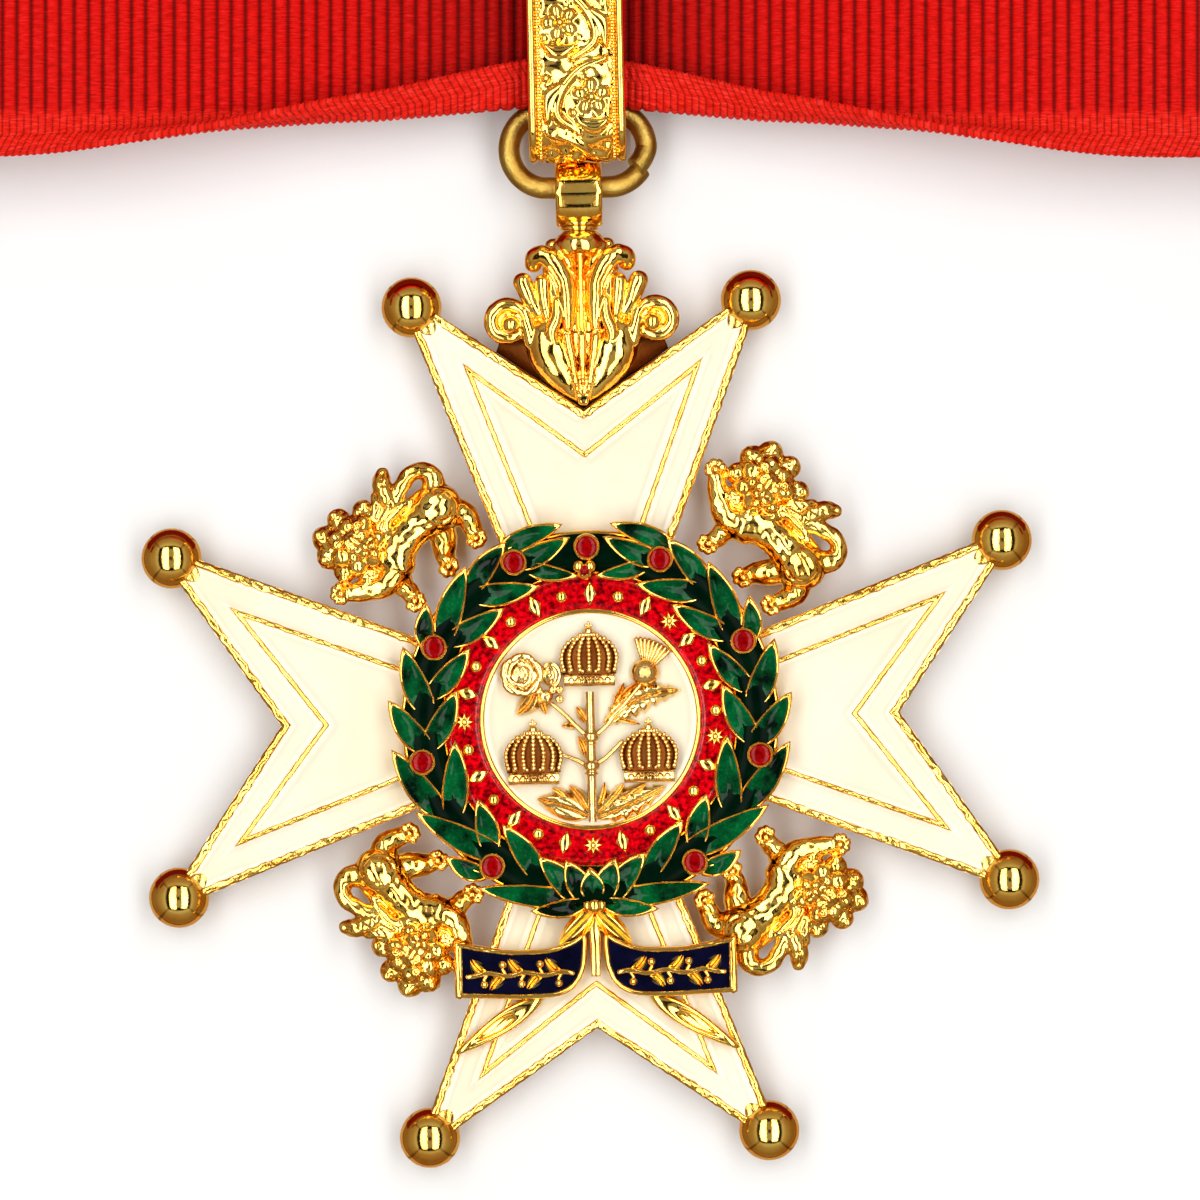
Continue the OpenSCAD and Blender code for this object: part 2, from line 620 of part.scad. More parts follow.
module leafy_mount() color(GOLD) difference() {
    union() {
        for (s = [-1, 1]) {
            for (row = lobe_rows) hull() {
                lobe(s, row[0], row[1]);
                lobe(s, row[2], row[3]);
            }
            translate([s * volute_at[0] * mount_l, notch_out + volute_at[1] * mount_l,
                mount_mid - 0.6 * mount_half])
                cylinder(r = volute_r * mount_l, h = 1.3 * mount_half, $fn = 14);
            translate([s * volute_at[0] * mount_l, notch_out + volute_at[1] * mount_l, mount_mid])
                sphere(r = 0.85 * volute_r * mount_l, $fn = 10);
            hull() {
                lobe(s, [0.17, 0.36], 0.05);
                lobe(s, [0.24, 0.3], 0.035);
            }
        }
    }
    slab(inset(cross_outline, -gap), 0, cross_top + gap);
    translate([-mount_l, loop_foot - gap, 0]) cube([2 * mount_l, mount_l, 4 * mount_half]);
}

// A stadium in the Y-Z plane that runs along X, with its two ends at low and high
module stadium(low, high, depth, mid, w) {
    r = depth / 2;
    translate([-w / 2, low + r, mid - r]) cube([w, high - low - depth, depth]);
    for (y = [low + r, high - r]) translate([-w / 2, y, mid]) rotate([0, 90, 0])
        cylinder(r = r, h = w);
}

module mount_loop() color(GOLD) {
    eye_low = loop_top - loop_wall - 0.16 * mount_l;
    difference() {
        union() {
            stadium(eye_low - loop_wall, loop_top, loop_depth, mount_mid, loop_w);
            translate([0, loop_foot, mount_mid]) rotate([-90, 0, 0])
                cylinder(r = 0.4 * loop_depth, h = eye_low - loop_foot - gap);
        }
        stadium(eye_low, loop_top - loop_wall, loop_depth - 2 * loop_wall, mount_mid, 2 * loop_w);
    }
    for (y = [0.02, 0.06]) translate([0, loop_foot + y * mount_l, mount_mid]) rotate([-90, 0, 0])
        cylinder(r = (0.52 - y) * loop_depth, h = 0.03 * mount_l);
}

// An oval of two half rings and two straight stretches, cut at one place
module jump_ring() color("darkgoldenrod") translate([0, ring_mid, mount_mid]) difference() {
    straight = ring_l - ring_h;
    union() {
        for (s = [0, 1]) mirror([s, 0, 0]) translate([straight / 2, 0, 0])
            rotate([0, 0, -90]) rotate_extrude(angle = 180)
                translate([ring_h / 2, 0]) circle(d = wire_d);
        for (y = [-1, 1]) translate([-straight / 2, y * ring_h / 2, 0]) rotate([0, 90, 0])
            cylinder(d = wire_d, h = straight);
    }
    rotate(-35) translate([ring_h / 2, -gap, -wire_d]) cube([ring_l, 2 * gap, 2 * wire_d]);
}

// How far the bail's inside reaches past the ring's wire
bail_over = 1.75;
bail_z = ribbon_t + slack;
bail_mid = bail_z + bail_depth / 2;
bail_low = ring_top - wire_d / 2 - bail_over - bail_wall;
bail_high = bail_low + ribbon_w - bail_less;
bail_rim_w = 0.5;
bail_rim_h = 0.12;
// Raised bosses on the bail's front: side, place along it and radius, as shares of the width
boss_rows = [[-0.18, 0.14], [0.2, 0.11], [-0.05, 0.12], [0.22, 0.13], [-0.22, 0.11], [0.06, 0.14]];

module ribbon_bail() color(GOLD) {
    difference() {
        union() {
            stadium(bail_low, bail_high, bail_depth, bail_mid, bail_w);
            for (s = [-1, 1]) translate([s * (bail_w - bail_rim_w) / 2, 0, 0])
                stadium(bail_low - bail_rim_h, bail_high + bail_rim_h,
                    bail_depth + 2 * bail_rim_h, bail_mid, bail_rim_w);
        }
        stadium(bail_low + bail_wall, bail_high - bail_wall,
            bail_depth - 2 * bail_wall, bail_mid, 2 * bail_w);
    }
    for (i = [0 : len(boss_rows) - 1])
        translate([boss_rows[i][0] * bail_w,
            bail_low + bail_depth / 2 + (i + 0.5) / len(boss_rows) * (bail_high - bail_low - bail_depth),
            bail_z + bail_depth - bail_wall / 2])
            cylinder(r = boss_rows[i][1] * bail_w, h = bail_wall / 2 + 1.5 * bail_rim_h);
}

// Ribbon. Its front strand passes through the bail with both margins turned forward, and
// its back strand lies flat on the surface.

// How far the ribbon's lower edge lies below the middle of the ring
ribbon_under = 0.6;
ribbon_low = ring_mid - ribbon_under;
ribbon_mid_y = ribbon_low + ribbon_w / 2;
back_shift = 4.3;
fold_r = ribbon_t / 2 + 0.1;
fold_out = fold_r + ribbon_t / 2;
margin_far = 2;
margin_low = ring_top + wire_d / 2 + slack + fold_out - ribbon_low;
margin_high = ribbon_low + ribbon_w - (bail_high - bail_depth / 2);
fold_reach = 40;
front_z = bail_z + bail_wall + slack + ribbon_t / 2;
half_l = (loop_l - 2 * PI * turn_r) / 4;
front_top = 2 * turn_r + ribbon_t / 2;
// Turn of the margins, and the share of the bail's margin that is left, by distance from
// the bail as a share of fold_reach
turn_rows = [[0, 180], [0.1, 168], [0.225, 145], [0.375, 122], [0.5, 92], [0.65, 62], [0.825, 18], [1, 0]];
margin_rows = [[0, 1], [0.085, 1], [0.107, 0.78], [0.16, 0.45], [0.3, 0.16], [0.55, 0.05], [1, 0]];
// Rise of the front strand as a share, by distance from the bail as a share of half_l
rise_rows = [
    [0, 0], [0.09, 0], [0.18, 0.07], [0.27, 0.2], [0.36, 0.37], [0.45, 0.56], [0.55, 0.72],
    [0.64, 0.85], [0.73, 0.94], [0.84, 0.99], [1, 1]];
front_stops = [0, 3.4, 4.3, 5.2, 6.5, 9, 12, 15, 18, 21, 24, 27, 30, 33, 36, 40, 46, 52, 60, 68, 76, 84, 94];
back_stops = [100, 70, 40, 15];
turn_steps = 8;
fold_steps = 4;

function shift_at(x) = back_shift / 2 * min(1, max(0, (x - fold_reach) / (half_l - fold_reach)));
function margin_at(x, near) = margin_far
    + (near - margin_far) * lookup(x / fold_reach, margin_rows);

// Stations round the loop: place along X, level, the way that the outer face looks in
// degrees from +Z towards +X, sideways shift, and distance from the bail for the folds
right_front = [for (x = front_stops) let (s = x * half_l / 110)
    [s, front_z + (front_top - front_z) * lookup(s / half_l, rise_rows), 0, shift_at(s), s]];
right_turn = [for (i = [0 : turn_steps]) let (a = 180 * i / turn_steps)
    [half_l + turn_r * sin(a), front_top - turn_r + turn_r * cos(a), a, back_shift / 2, fold_reach]];
right_back = [for (x = back_stops) let (s = x * half_l / 110)
    [s, ribbon_t / 2, 180, back_shift - shift_at(s), fold_reach]];
function left_side(rows) = [for (i = [len(rows) - 1 : -1 : 0]) let (p = rows[i])
    [-p[0], p[1], -p[2], p[3], p[4]]];
skip_first = [for (i = [1 : len(right_front) - 1]) right_front[i]];
stations = concat(right_front, right_turn, right_back,
    left_side(right_back), left_side(right_turn), left_side(skip_first));

// Middle line of one turned margin, from the base's edge outwards: each point has the
// distance past the edge, the height over the base and the turn there
function margin_line(m, turn) = let (
    arc = min(PI * fold_r, 0.6 * m),
    flap = m - arc)
    concat(
        [for (i = [0 : fold_steps]) let (
            a = turn * i / fold_steps,
            l = arc * i / fold_steps,
            r = turn > 1 ? arc / (turn * PI / 180) : 0)
            turn > 1 ? [r * sin(a), r * (1 - cos(a)), a] : [l, 0, 0]],
        [let (r = turn > 1 ? arc / (turn * PI / 180) : 0,
            at = turn > 1 ? [r * sin(turn), r * (1 - cos(turn))] : [arc, 0])
            [at[0] + flap * cos(turn), at[1] + flap * sin(turn), turn]]);

// The closed section of one station: across the ribbon and out of its face
function section(row) = let (
    turn = lookup(row[4] / fold_reach, turn_rows),
    m_low = margin_at(row[4], margin_low),
    m_high = margin_at(row[4], margin_high),
    low = margin_line(m_low, turn),
    high = margin_line(m_high, turn),
    n = len(low),
    edge_low = ribbon_low + m_low,
    edge_high = ribbon_low + ribbon_w - m_high,
    mid = concat(
        [for (i = [n - 1 : -1 : 0]) let (p = low[i])
            [edge_low - p[0], p[1], sin(p[2]), cos(p[2])]],
        [for (p = high) [edge_high + p[0], p[1], -sin(p[2]), cos(p[2])]]),
    h = ribbon_t / 2)
    concat(
        [for (p = mid) [p[0] + h * p[2], p[1] + h * p[3]]],
        [for (i = [len(mid) - 1 : -1 : 0]) let (p = mid[i]) [p[0] - h * p[2], p[1] - h * p[3]]]);

function place(row, p) = [
    row[0] + p[1] * sin(row[2]), p[0] + row[3], row[1] + p[1] * cos(row[2])];

// What lies turned with the ribbon, about the middle of the bail
module with_ribbon() {
    pivot = [0, (bail_low + bail_high) / 2, 0];
    translate(pivot) rotate(ribbon_turn) translate(-pivot) children();
}

module neck_ribbon() color("red") with_ribbon() {
    rings = [for (row = stations) [for (p = section(row)) place(row, p)]];
    n = len(rings);
    k = len(rings[0]);
    points = [for (ring = rings) for (p = ring) p];
    polyhedron(points, [
        for (i = [0 : n - 1]) for (j = [0 : k - 1]) let (
            a = i * k + j,
            b = i * k + (j + 1) % k,
            c = ((i + 1) % n) * k + (j + 1) % k,
            d = ((i + 1) % n) * k + j)
            for (t = [[a, b, c], [a, c, d]]) t]);
}

clasp_w = 6;
clasp_t = 0.9;
clasp_x = -30;

module ribbon_clasp() color(GOLD) with_ribbon()
    translate([clasp_x - clasp_w / 2, ribbon_mid_y + back_shift - clasp_l / 2, ribbon_t + gap])
        cube([clasp_w, clasp_l, clasp_t]);

cross_frame();
arm_band(0);  // arm_band_top
arm_band(90);  // arm_band_left
arm_band(180);  // arm_band_bottom
arm_band(270);  // arm_band_right
arm_field(0);  // arm_field_top
arm_field(90);  // arm_field_left
arm_field(180);  // arm_field_bottom
arm_field(270);  // arm_field_right
back_plate();
centre_disc();
red_ring();
cream_disc();
sceptre();
crown(crown_top_at);  // crown_top
crown([-crown_side_at[0], crown_side_at[1]]);  // crown_left
crown(crown_side_at);  // crown_right
rose();
thistle();
laurel_wreath();
leaf_enamel(-1, [2, 3, 4]);  // leaf_enamel_left
leaf_enamel(1, [0, 1]);  // leaf_enamel_right
berry(0);  // berry_1
berry(1);  // berry_2
berry(2);  // berry_3
berry(3);  // berry_4
berry(4);  // berry_5
berry(5);  // berry_6
berry(6);  // berry_7
berry(7);  // berry_8
berry(8);  // berry_9
lion(45);  // lion_upper_left
lion(-45);  // lion_upper_right
lion(135);  // lion_lower_left
lion(-135);  // lion_lower_right
scroll(-1);  // scroll_left
scroll(1);  // scroll_right
scroll_enamel(-1);  // scroll_enamel_left
scroll_enamel(1);  // scroll_enamel_right
scroll_tie();
leafy_mount();
mount_loop();
jump_ring();
ribbon_bail();
neck_ribbon();
ribbon_clasp();
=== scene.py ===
"""Dresses an order's neck badge: gilt castings, enamels, a ring, a bail and a ribbed ribbon.

The badge lies face up. Lengths in the tables are millimetres, and meshes are made in metres.
"""
import math

import bmesh
import bpy
import numpy as np
from bpy.props import FloatProperty, FloatVectorProperty, PointerProperty
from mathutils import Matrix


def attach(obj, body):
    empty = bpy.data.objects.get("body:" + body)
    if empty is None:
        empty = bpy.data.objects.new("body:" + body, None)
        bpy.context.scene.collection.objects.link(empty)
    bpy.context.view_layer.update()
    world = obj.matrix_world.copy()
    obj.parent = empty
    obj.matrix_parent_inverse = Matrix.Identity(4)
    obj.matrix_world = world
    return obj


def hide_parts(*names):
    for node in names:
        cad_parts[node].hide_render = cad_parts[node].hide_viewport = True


bl_info = {
    "name": "Neck Badge", "version": (1, 0, 0), "blender": (4, 5, 0),
    "location": "View3D > Sidebar > Neck Badge",
    "description": "Makes the gilt, enamel and ribbon of a neck badge over its frame",
    "category": "Add Mesh",
}

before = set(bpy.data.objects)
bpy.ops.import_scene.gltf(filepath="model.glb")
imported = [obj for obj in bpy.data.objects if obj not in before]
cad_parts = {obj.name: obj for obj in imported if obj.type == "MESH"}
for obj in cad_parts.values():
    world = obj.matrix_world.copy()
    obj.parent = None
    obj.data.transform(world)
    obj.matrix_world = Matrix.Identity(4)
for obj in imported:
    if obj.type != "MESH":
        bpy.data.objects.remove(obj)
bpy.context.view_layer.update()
MM = 0.001
PI = math.pi

# Levels of the badge above the surface, and its main sizes, in millimetres
CROSS_BACK = 0.85
CROSS_TOP = 2.65
DISC_LEVEL = 2.69
DISC_TOP = 3.09
RELIEF = 3.59
LEAF_LOW = 3.59
LEAF_TOP = 4.19
WREATH_R = 11.75
RING_IN_R = 6.45
SCROLL_LEVEL = 2.73
SCROLL_FLOOR = 3.28
SCROLL_TOP = 3.73
MOUNT_MID = 2.4

# The turns of the four arms, in degrees
QUARTERS = (0, 90, 180, 270)


# Plane outlines


def unit(v):
    return v / np.linalg.norm(v)


def clock(angle, reach):
    """A point by its clock angle in degrees and its distance from the middle."""
    a = math.radians(angle)
    return np.array([reach * math.sin(a), reach * math.cos(a)])


def turned(points, degrees):
    """Points turned anticlockwise about the Z axis."""
    a = math.radians(degrees)
    out = np.array(points, float)
    x = out[..., 0].copy()
    y = out[..., 1].copy()
    out[..., 0] = x * math.cos(a) - y * math.sin(a)
    out[..., 1] = x * math.sin(a) + y * math.cos(a)
    return out


def mirrored(points):
    """An outline mirrored left to right, still anticlockwise."""
    return (np.array(points, float) * [-1, 1])[::-1]


def inset(points, by):
    """A closed anticlockwise outline with each side moved inwards."""
    p = np.asarray(points, float)
    u = np.roll(p, -1, 0) - p
    u /= np.linalg.norm(u, axis=1)[:, None]
    left = np.stack([-u[:, 1], u[:, 0]], 1)
    before = np.roll(u, 1, 0)
    a = np.roll(p, 1, 0) + by * np.roll(left, 1, 0)
    b = p + by * left
    cross = before[:, 0] * u[:, 1] - before[:, 1] * u[:, 0]
    gap = b - a
    cross = np.where(abs(cross) < 1e-9, 1e-9, cross)
    t = (gap[:, 0] * u[:, 1] - gap[:, 1] * u[:, 0]) / cross
    return a + before * t[:, None]


def stepped(points, counts):
    """A closed outline with each side cut into its own number of steps."""
    out = []
    for a, b, n in zip(points, np.roll(points, -1, 0), counts):
        out.append(a + (b - a) * np.arange(n)[:, None] / n)
    return np.concatenate(out)


def counts_for(points, step):
    lengths = np.linalg.norm(np.roll(points, -1, 0) - np.asarray(points), axis=1)
    return np.maximum(1, np.round(lengths / step).astype(int))


def curve_through(points, steps):
    """A smooth line through points, with a number of steps for each stretch."""
    p = np.asarray(points, float)
    ends = np.concatenate([[2 * p[0] - p[1]], p, [2 * p[-1] - p[-2]]])
    out = []
    for i in range(1, len(ends) - 2):
        a, b, c, d = ends[i - 1 : i + 3]
        t = (np.arange(steps) / steps)[:, None]
        out.append(
            0.5 * (
                2 * b + (c - a) * t + (2 * a - 5 * b + 4 * c - d) * t**2 + (3 * b - a - 3 * c + d) * t**3
            )
        )
    return np.concatenate(out + [ends[-2:-1]])


def ripple(points, size, seed):
    """A smooth random value from -1 to 1 that changes over the given distance."""
    rng = np.random.default_rng(seed)
    p = np.asarray(points, float)
    total = np.zeros(p.shape[:-1])
    for _ in range(7):
        way = rng.normal(size=p.shape[-1])
        total += np.sin(p @ (unit(way) * 2 * PI / (size * rng.uniform(0.7, 1.8))) + rng.uniform(0, 6.3))
    return total / 4


# Meshes


def all_round(sides):
    """Angles in even steps all the way round."""
    return 2 * PI * np.arange(sides) / sides


def at_level(flat, level):
    """Places in the plane with their heights."""
    return np.column_stack([flat, np.broadcast_to(level, len(flat))])


def arc(middle, r, a, level, stretch=(1, 1)):
    """Points round a middle by radius, angle and level."""
    x = middle[0] + stretch[0] * r * np.cos(a)
    y = middle[1] + stretch[1] * r * np.sin(a)
    return np.column_stack([x, y, np.broadcast_to(level, len(a))])


def half_round(start, width, foot, base, rise, steps, power=1.0):
    """Rows of place across and height of a half-round bead: up from its foot, over and down."""
    r = width / 2
    rows = [(start, foot)]
    for a in np.linspace(0, PI, steps):
        rows.append((start + r - r * math.cos(a), base + rise * math.sin(a) ** power))
    return rows + [(start + width, foot)]


class Shells:
    """Gathers closed shells, in millimetres, into one mesh."""

    def __init__(self):
        self.verts = []
        self.faces = []
        self.finishes = []
        self.count = 0

    def add(self, verts, faces, finish=0):
        verts = np.asarray(verts, float).reshape(-1, 3)
        for block in faces:
            rows = (np.asarray(block) + self.count).tolist()
            self.faces += rows
            self.finishes += [finish] * len(rows)
        self.verts.append(verts)
        self.count += len(verts)
        return self

    def grid(self, rings, around=False, finish=0):
        """Quads between rings of points. The last ring meets the first, or both are capped."""
        rings = np.asarray(rings, float)
        n, k = rings.shape[:2]
        i = np.arange(n if around else n - 1)[:, None]
        j = np.arange(k)[None, :]
        a = i * k + j
        b = i * k + (j + 1) % k
        c = ((i + 1) % n) * k + (j + 1) % k
        d = ((i + 1) % n) * k + j
        faces = [np.stack([a, b, c, d], -1).reshape(-1, 4)]
        if not around:
            faces.append(np.arange(k)[::-1][None, :])
            faces.append(((n - 1) * k + np.arange(k))[None, :])
        return self.add(rings, faces, finish)

    def loop_bead(self, outline, profile, step, rough=0.0, seed=1, finish=0):
        """A bead along a closed outline. Profile rows are distance inwards and height."""
        counts = counts_for(outline, step)
        rows = np.array([at_level(stepped(inset(outline, by), counts), level) for by, level in profile])
        if rough:
            top = max(level for _, level in profile)
            low = min(level for _, level in profile)
            share = ((rows[..., 2] - low) / (top - low))[..., None]
            shift = np.stack([ripple(rows[..., :2], 0.55, seed + i) for i in range(3)], -1)
            rows = rows + rough * share * shift * [0.8, 0.8, 1.0]
        return self.grid(rows, around=True, finish=finish)

    def rod(self, line, radii, sides=10, flat=1.0, finish=0):
        """A round bar along a line, with rounded ends."""
        line = np.asarray(line, float)
        radii = np.broadcast_to(radii, len(line))
        way = np.gradient(line, axis=0)
        way /= np.linalg.norm(way, axis=1)[:, None]
        side = np.cross(way, [0, 0, 1.0])
        short = np.linalg.norm(side, axis=1) < 1e-3
        side[short] = [1, 0, 0]
        side /= np.linalg.norm(side, axis=1)[:, None]
        up = np.cross(side, way)
        a = all_round(sides)
        rings = []
        for i, t in ((0, -1.0), (0, -0.7), *((i, 0.0) for i in range(len(line))), (-1, 0.7), (-1, 1.0)):
            r = radii[i] * (math.sqrt(1 - t * t) if t else 1.0)
            r = max(r, 0.08 * radii[i])
            at = line[i] + way[i] * t * radii[i]
            rings.append(at + r * (np.cos(a)[:, None] * side[i] + flat * np.sin(a)[:, None] * up[i]))
        return self.grid(rings, finish=finish)

    def ball(self, at, r, sides=16, squash=1.0):
        """A closed ball whose poles are small caps."""
        rings = []
        for t in np.linspace(-1, 1, sides // 2 + 1):
            angle = t * PI / 2 * 0.97
            level = at[2] + r * math.sin(angle) * squash
            rings.append(arc(at, r * math.cos(angle), all_round(sides), level))
        return self.grid(rings)

    def lathe(self, profile, at=(0, 0), sides=64, finish=0, around=True):
        """A closed profile of radius and height rows, turned round an upright axis."""
        rings = [arc(at, r, all_round(sides), z) for r, z in profile]
        return self.grid(rings, around, finish)

    def turned_solid(self, profile, at=(0, 0), sides=48, finish=0):
        """Rows of radius and height from the middle of the foot to the middle of the top."""
        return self.lathe(profile, at, sides, finish, around=False)

    def spindle(self, rows, level, sides=40, squash=1.0):
        """A solid turned round a bar that runs along Y. Rows are place and radius."""
        a = all_round(sides)
        rings = []
        for y, r in rows:
            height = level + squash * r * np.sin(a)
            rings.append(np.column_stack([r * np.cos(a), np.full(sides, y), height]))
        return self.grid(rings)

    def plateau(self, outline, rows, finish=0):
        """A closed form over an outline, from rows of distance inwards and height."""
        return self.grid([at_level(inset(outline, by), level) for by, level in rows], finish=finish)

    def leaf(self, base, tip, width, low, high, bend=0.0, teeth=0):
        """A leaf with two swells and a sunk vein between them."""
        base = np.asarray(base, float)
        tip = np.asarray(tip, float)
        u = unit(tip - base)
        side = np.array([u[1], -u[0]])
        t = np.linspace(0.02, 0.98, 6 * max(teeth, 2) + 1)
        half = 0.5 * width * np.sin(PI * t**0.85) ** 0.75
        if teeth:
            half = half * (1 - 0.34 * ((t * teeth) % 1))
        mid = base + (tip - base) * t[:, None] + side * (bend * np.sin(PI * t))[:, None]
        share = np.array([-1, -0.94, -0.55, -0.12, 0, 0.12, 0.55, 0.94, 1])
        tall = np.array([0, 0.35, 1, 0.8, 0.42, 0.8, 1, 0.35, 0]) * (high - low)
        swell = np.sin(PI * np.clip(t, 0.05, 0.95)) ** 0.35
        rings = np.empty((len(t), 9, 3))
        rings[..., :2] = mid[:, None] + side * (share * half[:, None])[..., None]
        rings[..., 2] = low + tall * swell[:, None]
        return self.grid(rings)


class Clay:
    """A block of distances that is modelled with rods, balls and cuts, then skinned."""

    def __init__(self, low, high, step):
        self.low = np.array(low, float)
        self.step = step
        count = np.ceil((np.array(high) - self.low) / step).astype(int) + 1
        self.field = np.full(count, 1.0)

    def cells(self, first, last):
        """The places of the cells from one index up to another."""
        axes = [self.low[i] + self.step * np.arange(first[i], last[i]) for i in range(3)]
        return np.stack(np.meshgrid(*axes, indexing="ij"), -1)

    def points(self):
        """The places of all the block's cells."""
        return self.cells((0, 0, 0), self.field.shape)

    def part(self, low, high):
        """The block's cells near a shape, as an index and its points."""
        first = np.maximum(0, np.floor((np.array(low) - self.low) / self.step).astype(int))
        last = np.ceil((np.array(high) - self.low) / self.step).astype(int) + 1
        last = np.minimum(self.field.shape, last)
        if (last <= first).any():
            return None, None
        return tuple(slice(a, b) for a, b in zip(first, last)), self.cells(first, last)

    def merge(self, where, other, soft, cut):
        """Joins a shape to the block, or cuts it out, with a soft seam."""
        sign = -1 if cut else 1
        mine = sign * self.field[where]
        mix = np.clip(0.5 + 0.5 * (other - mine) / soft, 0, 1)
        self.field[where] = sign * (other + (mine - other) * mix - soft * mix * (1 - mix))

    def rod(self, a, b, ra, rb, soft=0.08, cut=False, tall=1.0):
        """A bar from a to b. Tall is its height as a share of its width."""
        a = np.array(a, float)
        b = np.array(b, float)
        reach = max(ra, rb) * max(1, tall) + 3 * soft + self.step
        where, p = self.part(np.minimum(a, b) - reach, np.maximum(a, b) + reach)
        if where is None:
            return
        scale = np.array([1, 1, 1 / tall])
        p = p * scale
        a = a * scale
        b = b * scale
        way = b - a
        t = np.clip(((p - a) @ way) / max(way @ way, 1e-9), 0, 1)
        away = np.linalg.norm(p - a - t[..., None] * way, axis=-1) - (ra + (rb - ra) * t)
        self.merge(where, away, soft, cut)

    def line(self, points, radii, soft=0.08, cut=False, tall=1.0, steps=4):
        """A bar along a smooth line whose radius changes from point to point."""
        rows = np.column_stack([np.asarray(points, float), np.broadcast_to(radii, len(points))])
        rows = curve_through(rows, steps)
        for a, b in zip(rows[:-1], rows[1:]):
            self.rod(a[:3], b[:3], max(a[3], 0.01), max(b[3], 0.01), soft, cut, tall)

    def ball(self, at, r, soft=0.08, cut=False, stretch=(1, 1, 1)):
        at = np.array(at, float)
        size = r * np.array(stretch)
        where, p = self.part(at - size - 3 * soft - self.step, at + size + 3 * soft + self.step)
        if where is None:
            return
        away = np.linalg.norm((p - at) / size, axis=-1)
        self.merge(where, (away - 1) * size.min(), soft, cut)

    def roughen(self, size, by, seed):
        """Small uneven waves, as a casting has."""
        p = self.points()
        near = abs(self.field) < 3 * self.step
        self.field[near] += by * ripple(p[near], size, seed)

    def keep(self, away, soft=0.02):
        """Cuts off what lies where a distance is above zero."""
        self.merge(tuple(slice(None) for _ in range(3)), -away, soft, True)

    def skin(self):
        """Closed quads over the surface, one corner in each cell that it crosses."""
        field = np.pad(self.field, 1, constant_values=1.0)
        shape = np.array(field.shape)
        cells = tuple(shape - 1)
        total = np.zeros(cells + (3,))
        hits = np.zeros(cells)
        crossings = []
        for axis in range(3):
            a = np.take(field, range(shape[axis] - 1), axis)
            b = np.take(field, range(1, shape[axis]), axis)
            crossed = (a < 0) != (b < 0)
            t = np.where(crossed, a / np.where(crossed, a - b, 1), 0)
            crossings.append((crossed, a < 0))
            u, v = [i for i in range(3) if i != axis]
            for one, two in ((0, 0), (0, 1), (1, 0), (1, 1)):
                cut = [slice(None)] * 3
                cut[u] = slice(one, one + cells[u])
                cut[v] = slice(two, two + cells[v])
                c = crossed[tuple(cut)]
                hits += c
                total[..., axis] += np.where(c, t[tuple(cut)], 0)
                total[..., u] += c * one
                total[..., v] += c * two
        used = hits > 0
        number = np.full(cells, -1)
        number[used] = np.arange(used.sum())
        places = np.argwhere(used) + total[used] / hits[used][:, None]
        verts = self.low + (places - 1) * self.step
        faces = []
        for axis, (crossed, starts_in) in enumerate(crossings):
            u, v = [i for i in range(3) if i != axis]
            inside = starts_in[crossed]
            corners = []
            for one, two in ((1, 1), (0, 1), (0, 0), (1, 0)):
                cell = np.argwhere(crossed)
                cell[:, u] -= one
                cell[:, v] -= two
                corners.append(number[tuple(cell.T)])
            quads = np.stack(corners, 1)
            flip = inside if axis == 1 else ~inside
            quads[flip] = quads[flip][:, ::-1]
            faces.append(quads)
        return verts, faces


def placed(name, data):
    """A new object in the scene."""
    thing = bpy.data.objects.new(name, data)
    bpy.context.scene.collection.objects.link(thing)
    return thing


def finished(name, shells, finishes, nodes=(), crease=None):
    """Makes the object of a piece, seats it on the frame and returns it."""
    mesh = bpy.data.meshes.new(name)
    mesh.from_pydata((np.concatenate(shells.verts) * MM).tolist(), [], shells.faces)
    for finish in finishes:
        mesh.materials.append(looks()[finish])
    mesh.polygons.foreach_set("material_index", shells.finishes)
    tidy = bmesh.new()
    tidy.from_mesh(mesh)
    bmesh.ops.recalc_face_normals(tidy, faces=tidy.faces)
    tidy.to_mesh(mesh)
    tidy.free()
    mesh.shade_smooth()
    if crease:
        mesh.set_sharp_from_angle(angle=math.radians(crease))
    piece = placed(name, mesh)
    if nodes:
        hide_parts(*nodes)
    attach(piece, "root")
    return piece


# Nodes


def fill(tree, node, inputs):
    """Sets a node's inputs to values, or links them to other nodes' outputs."""
    for key, value in inputs.items():
        if isinstance(value, bpy.types.NodeSocket):
            tree.links.new(value, node.inputs[key])
        else:
            node.inputs[key].default_value = value


def add_node(tree, kind, inputs=None, **settings):
    """A node with its settings and its inputs."""
    node = tree.nodes.new(kind)
    for key, value in settings.items():
        setattr(node, key, value)
    fill(tree, node, inputs or {})
    return node


def maths(tree, operation, *values):
    """The result of a sum or a function of numbers or outputs."""
    node = add_node(tree, "ShaderNodeMath", dict(enumerate(values)), operation=operation)
    return node.outputs[0]


def mixed(tree, a, b, factor=1.0, blend="MULTIPLY", kind="RGBA"):
    """Two colours or values mixed by a factor."""
    inputs = {"Factor": factor, "A": a, "B": b}
    node = add_node(tree, "ShaderNodeMix", inputs, data_type=kind, blend_type=blend)
    return node.outputs["Result"]


def ranged(tree, value, low, high, to_low, to_high):
    """A value brought from one range to another."""
    inputs = {"Value": value, "From Min": low, "From Max": high, "To Min": to_low, "To Max": to_high}
    return add_node(tree, "ShaderNodeMapRange", inputs).outputs["Result"]


def scaled(tree, vector, scale):
    return add_node(tree, "ShaderNodeMapping", {"Vector": vector, "Scale": scale}).outputs["Vector"]


def noise(tree, vector, scale, detail, roughness=0.5):
    inputs = {"Vector": vector, "Scale": scale, "Detail": detail, "Roughness": roughness}
    return add_node(tree, "ShaderNodeTexNoise", inputs).outputs["Fac"]


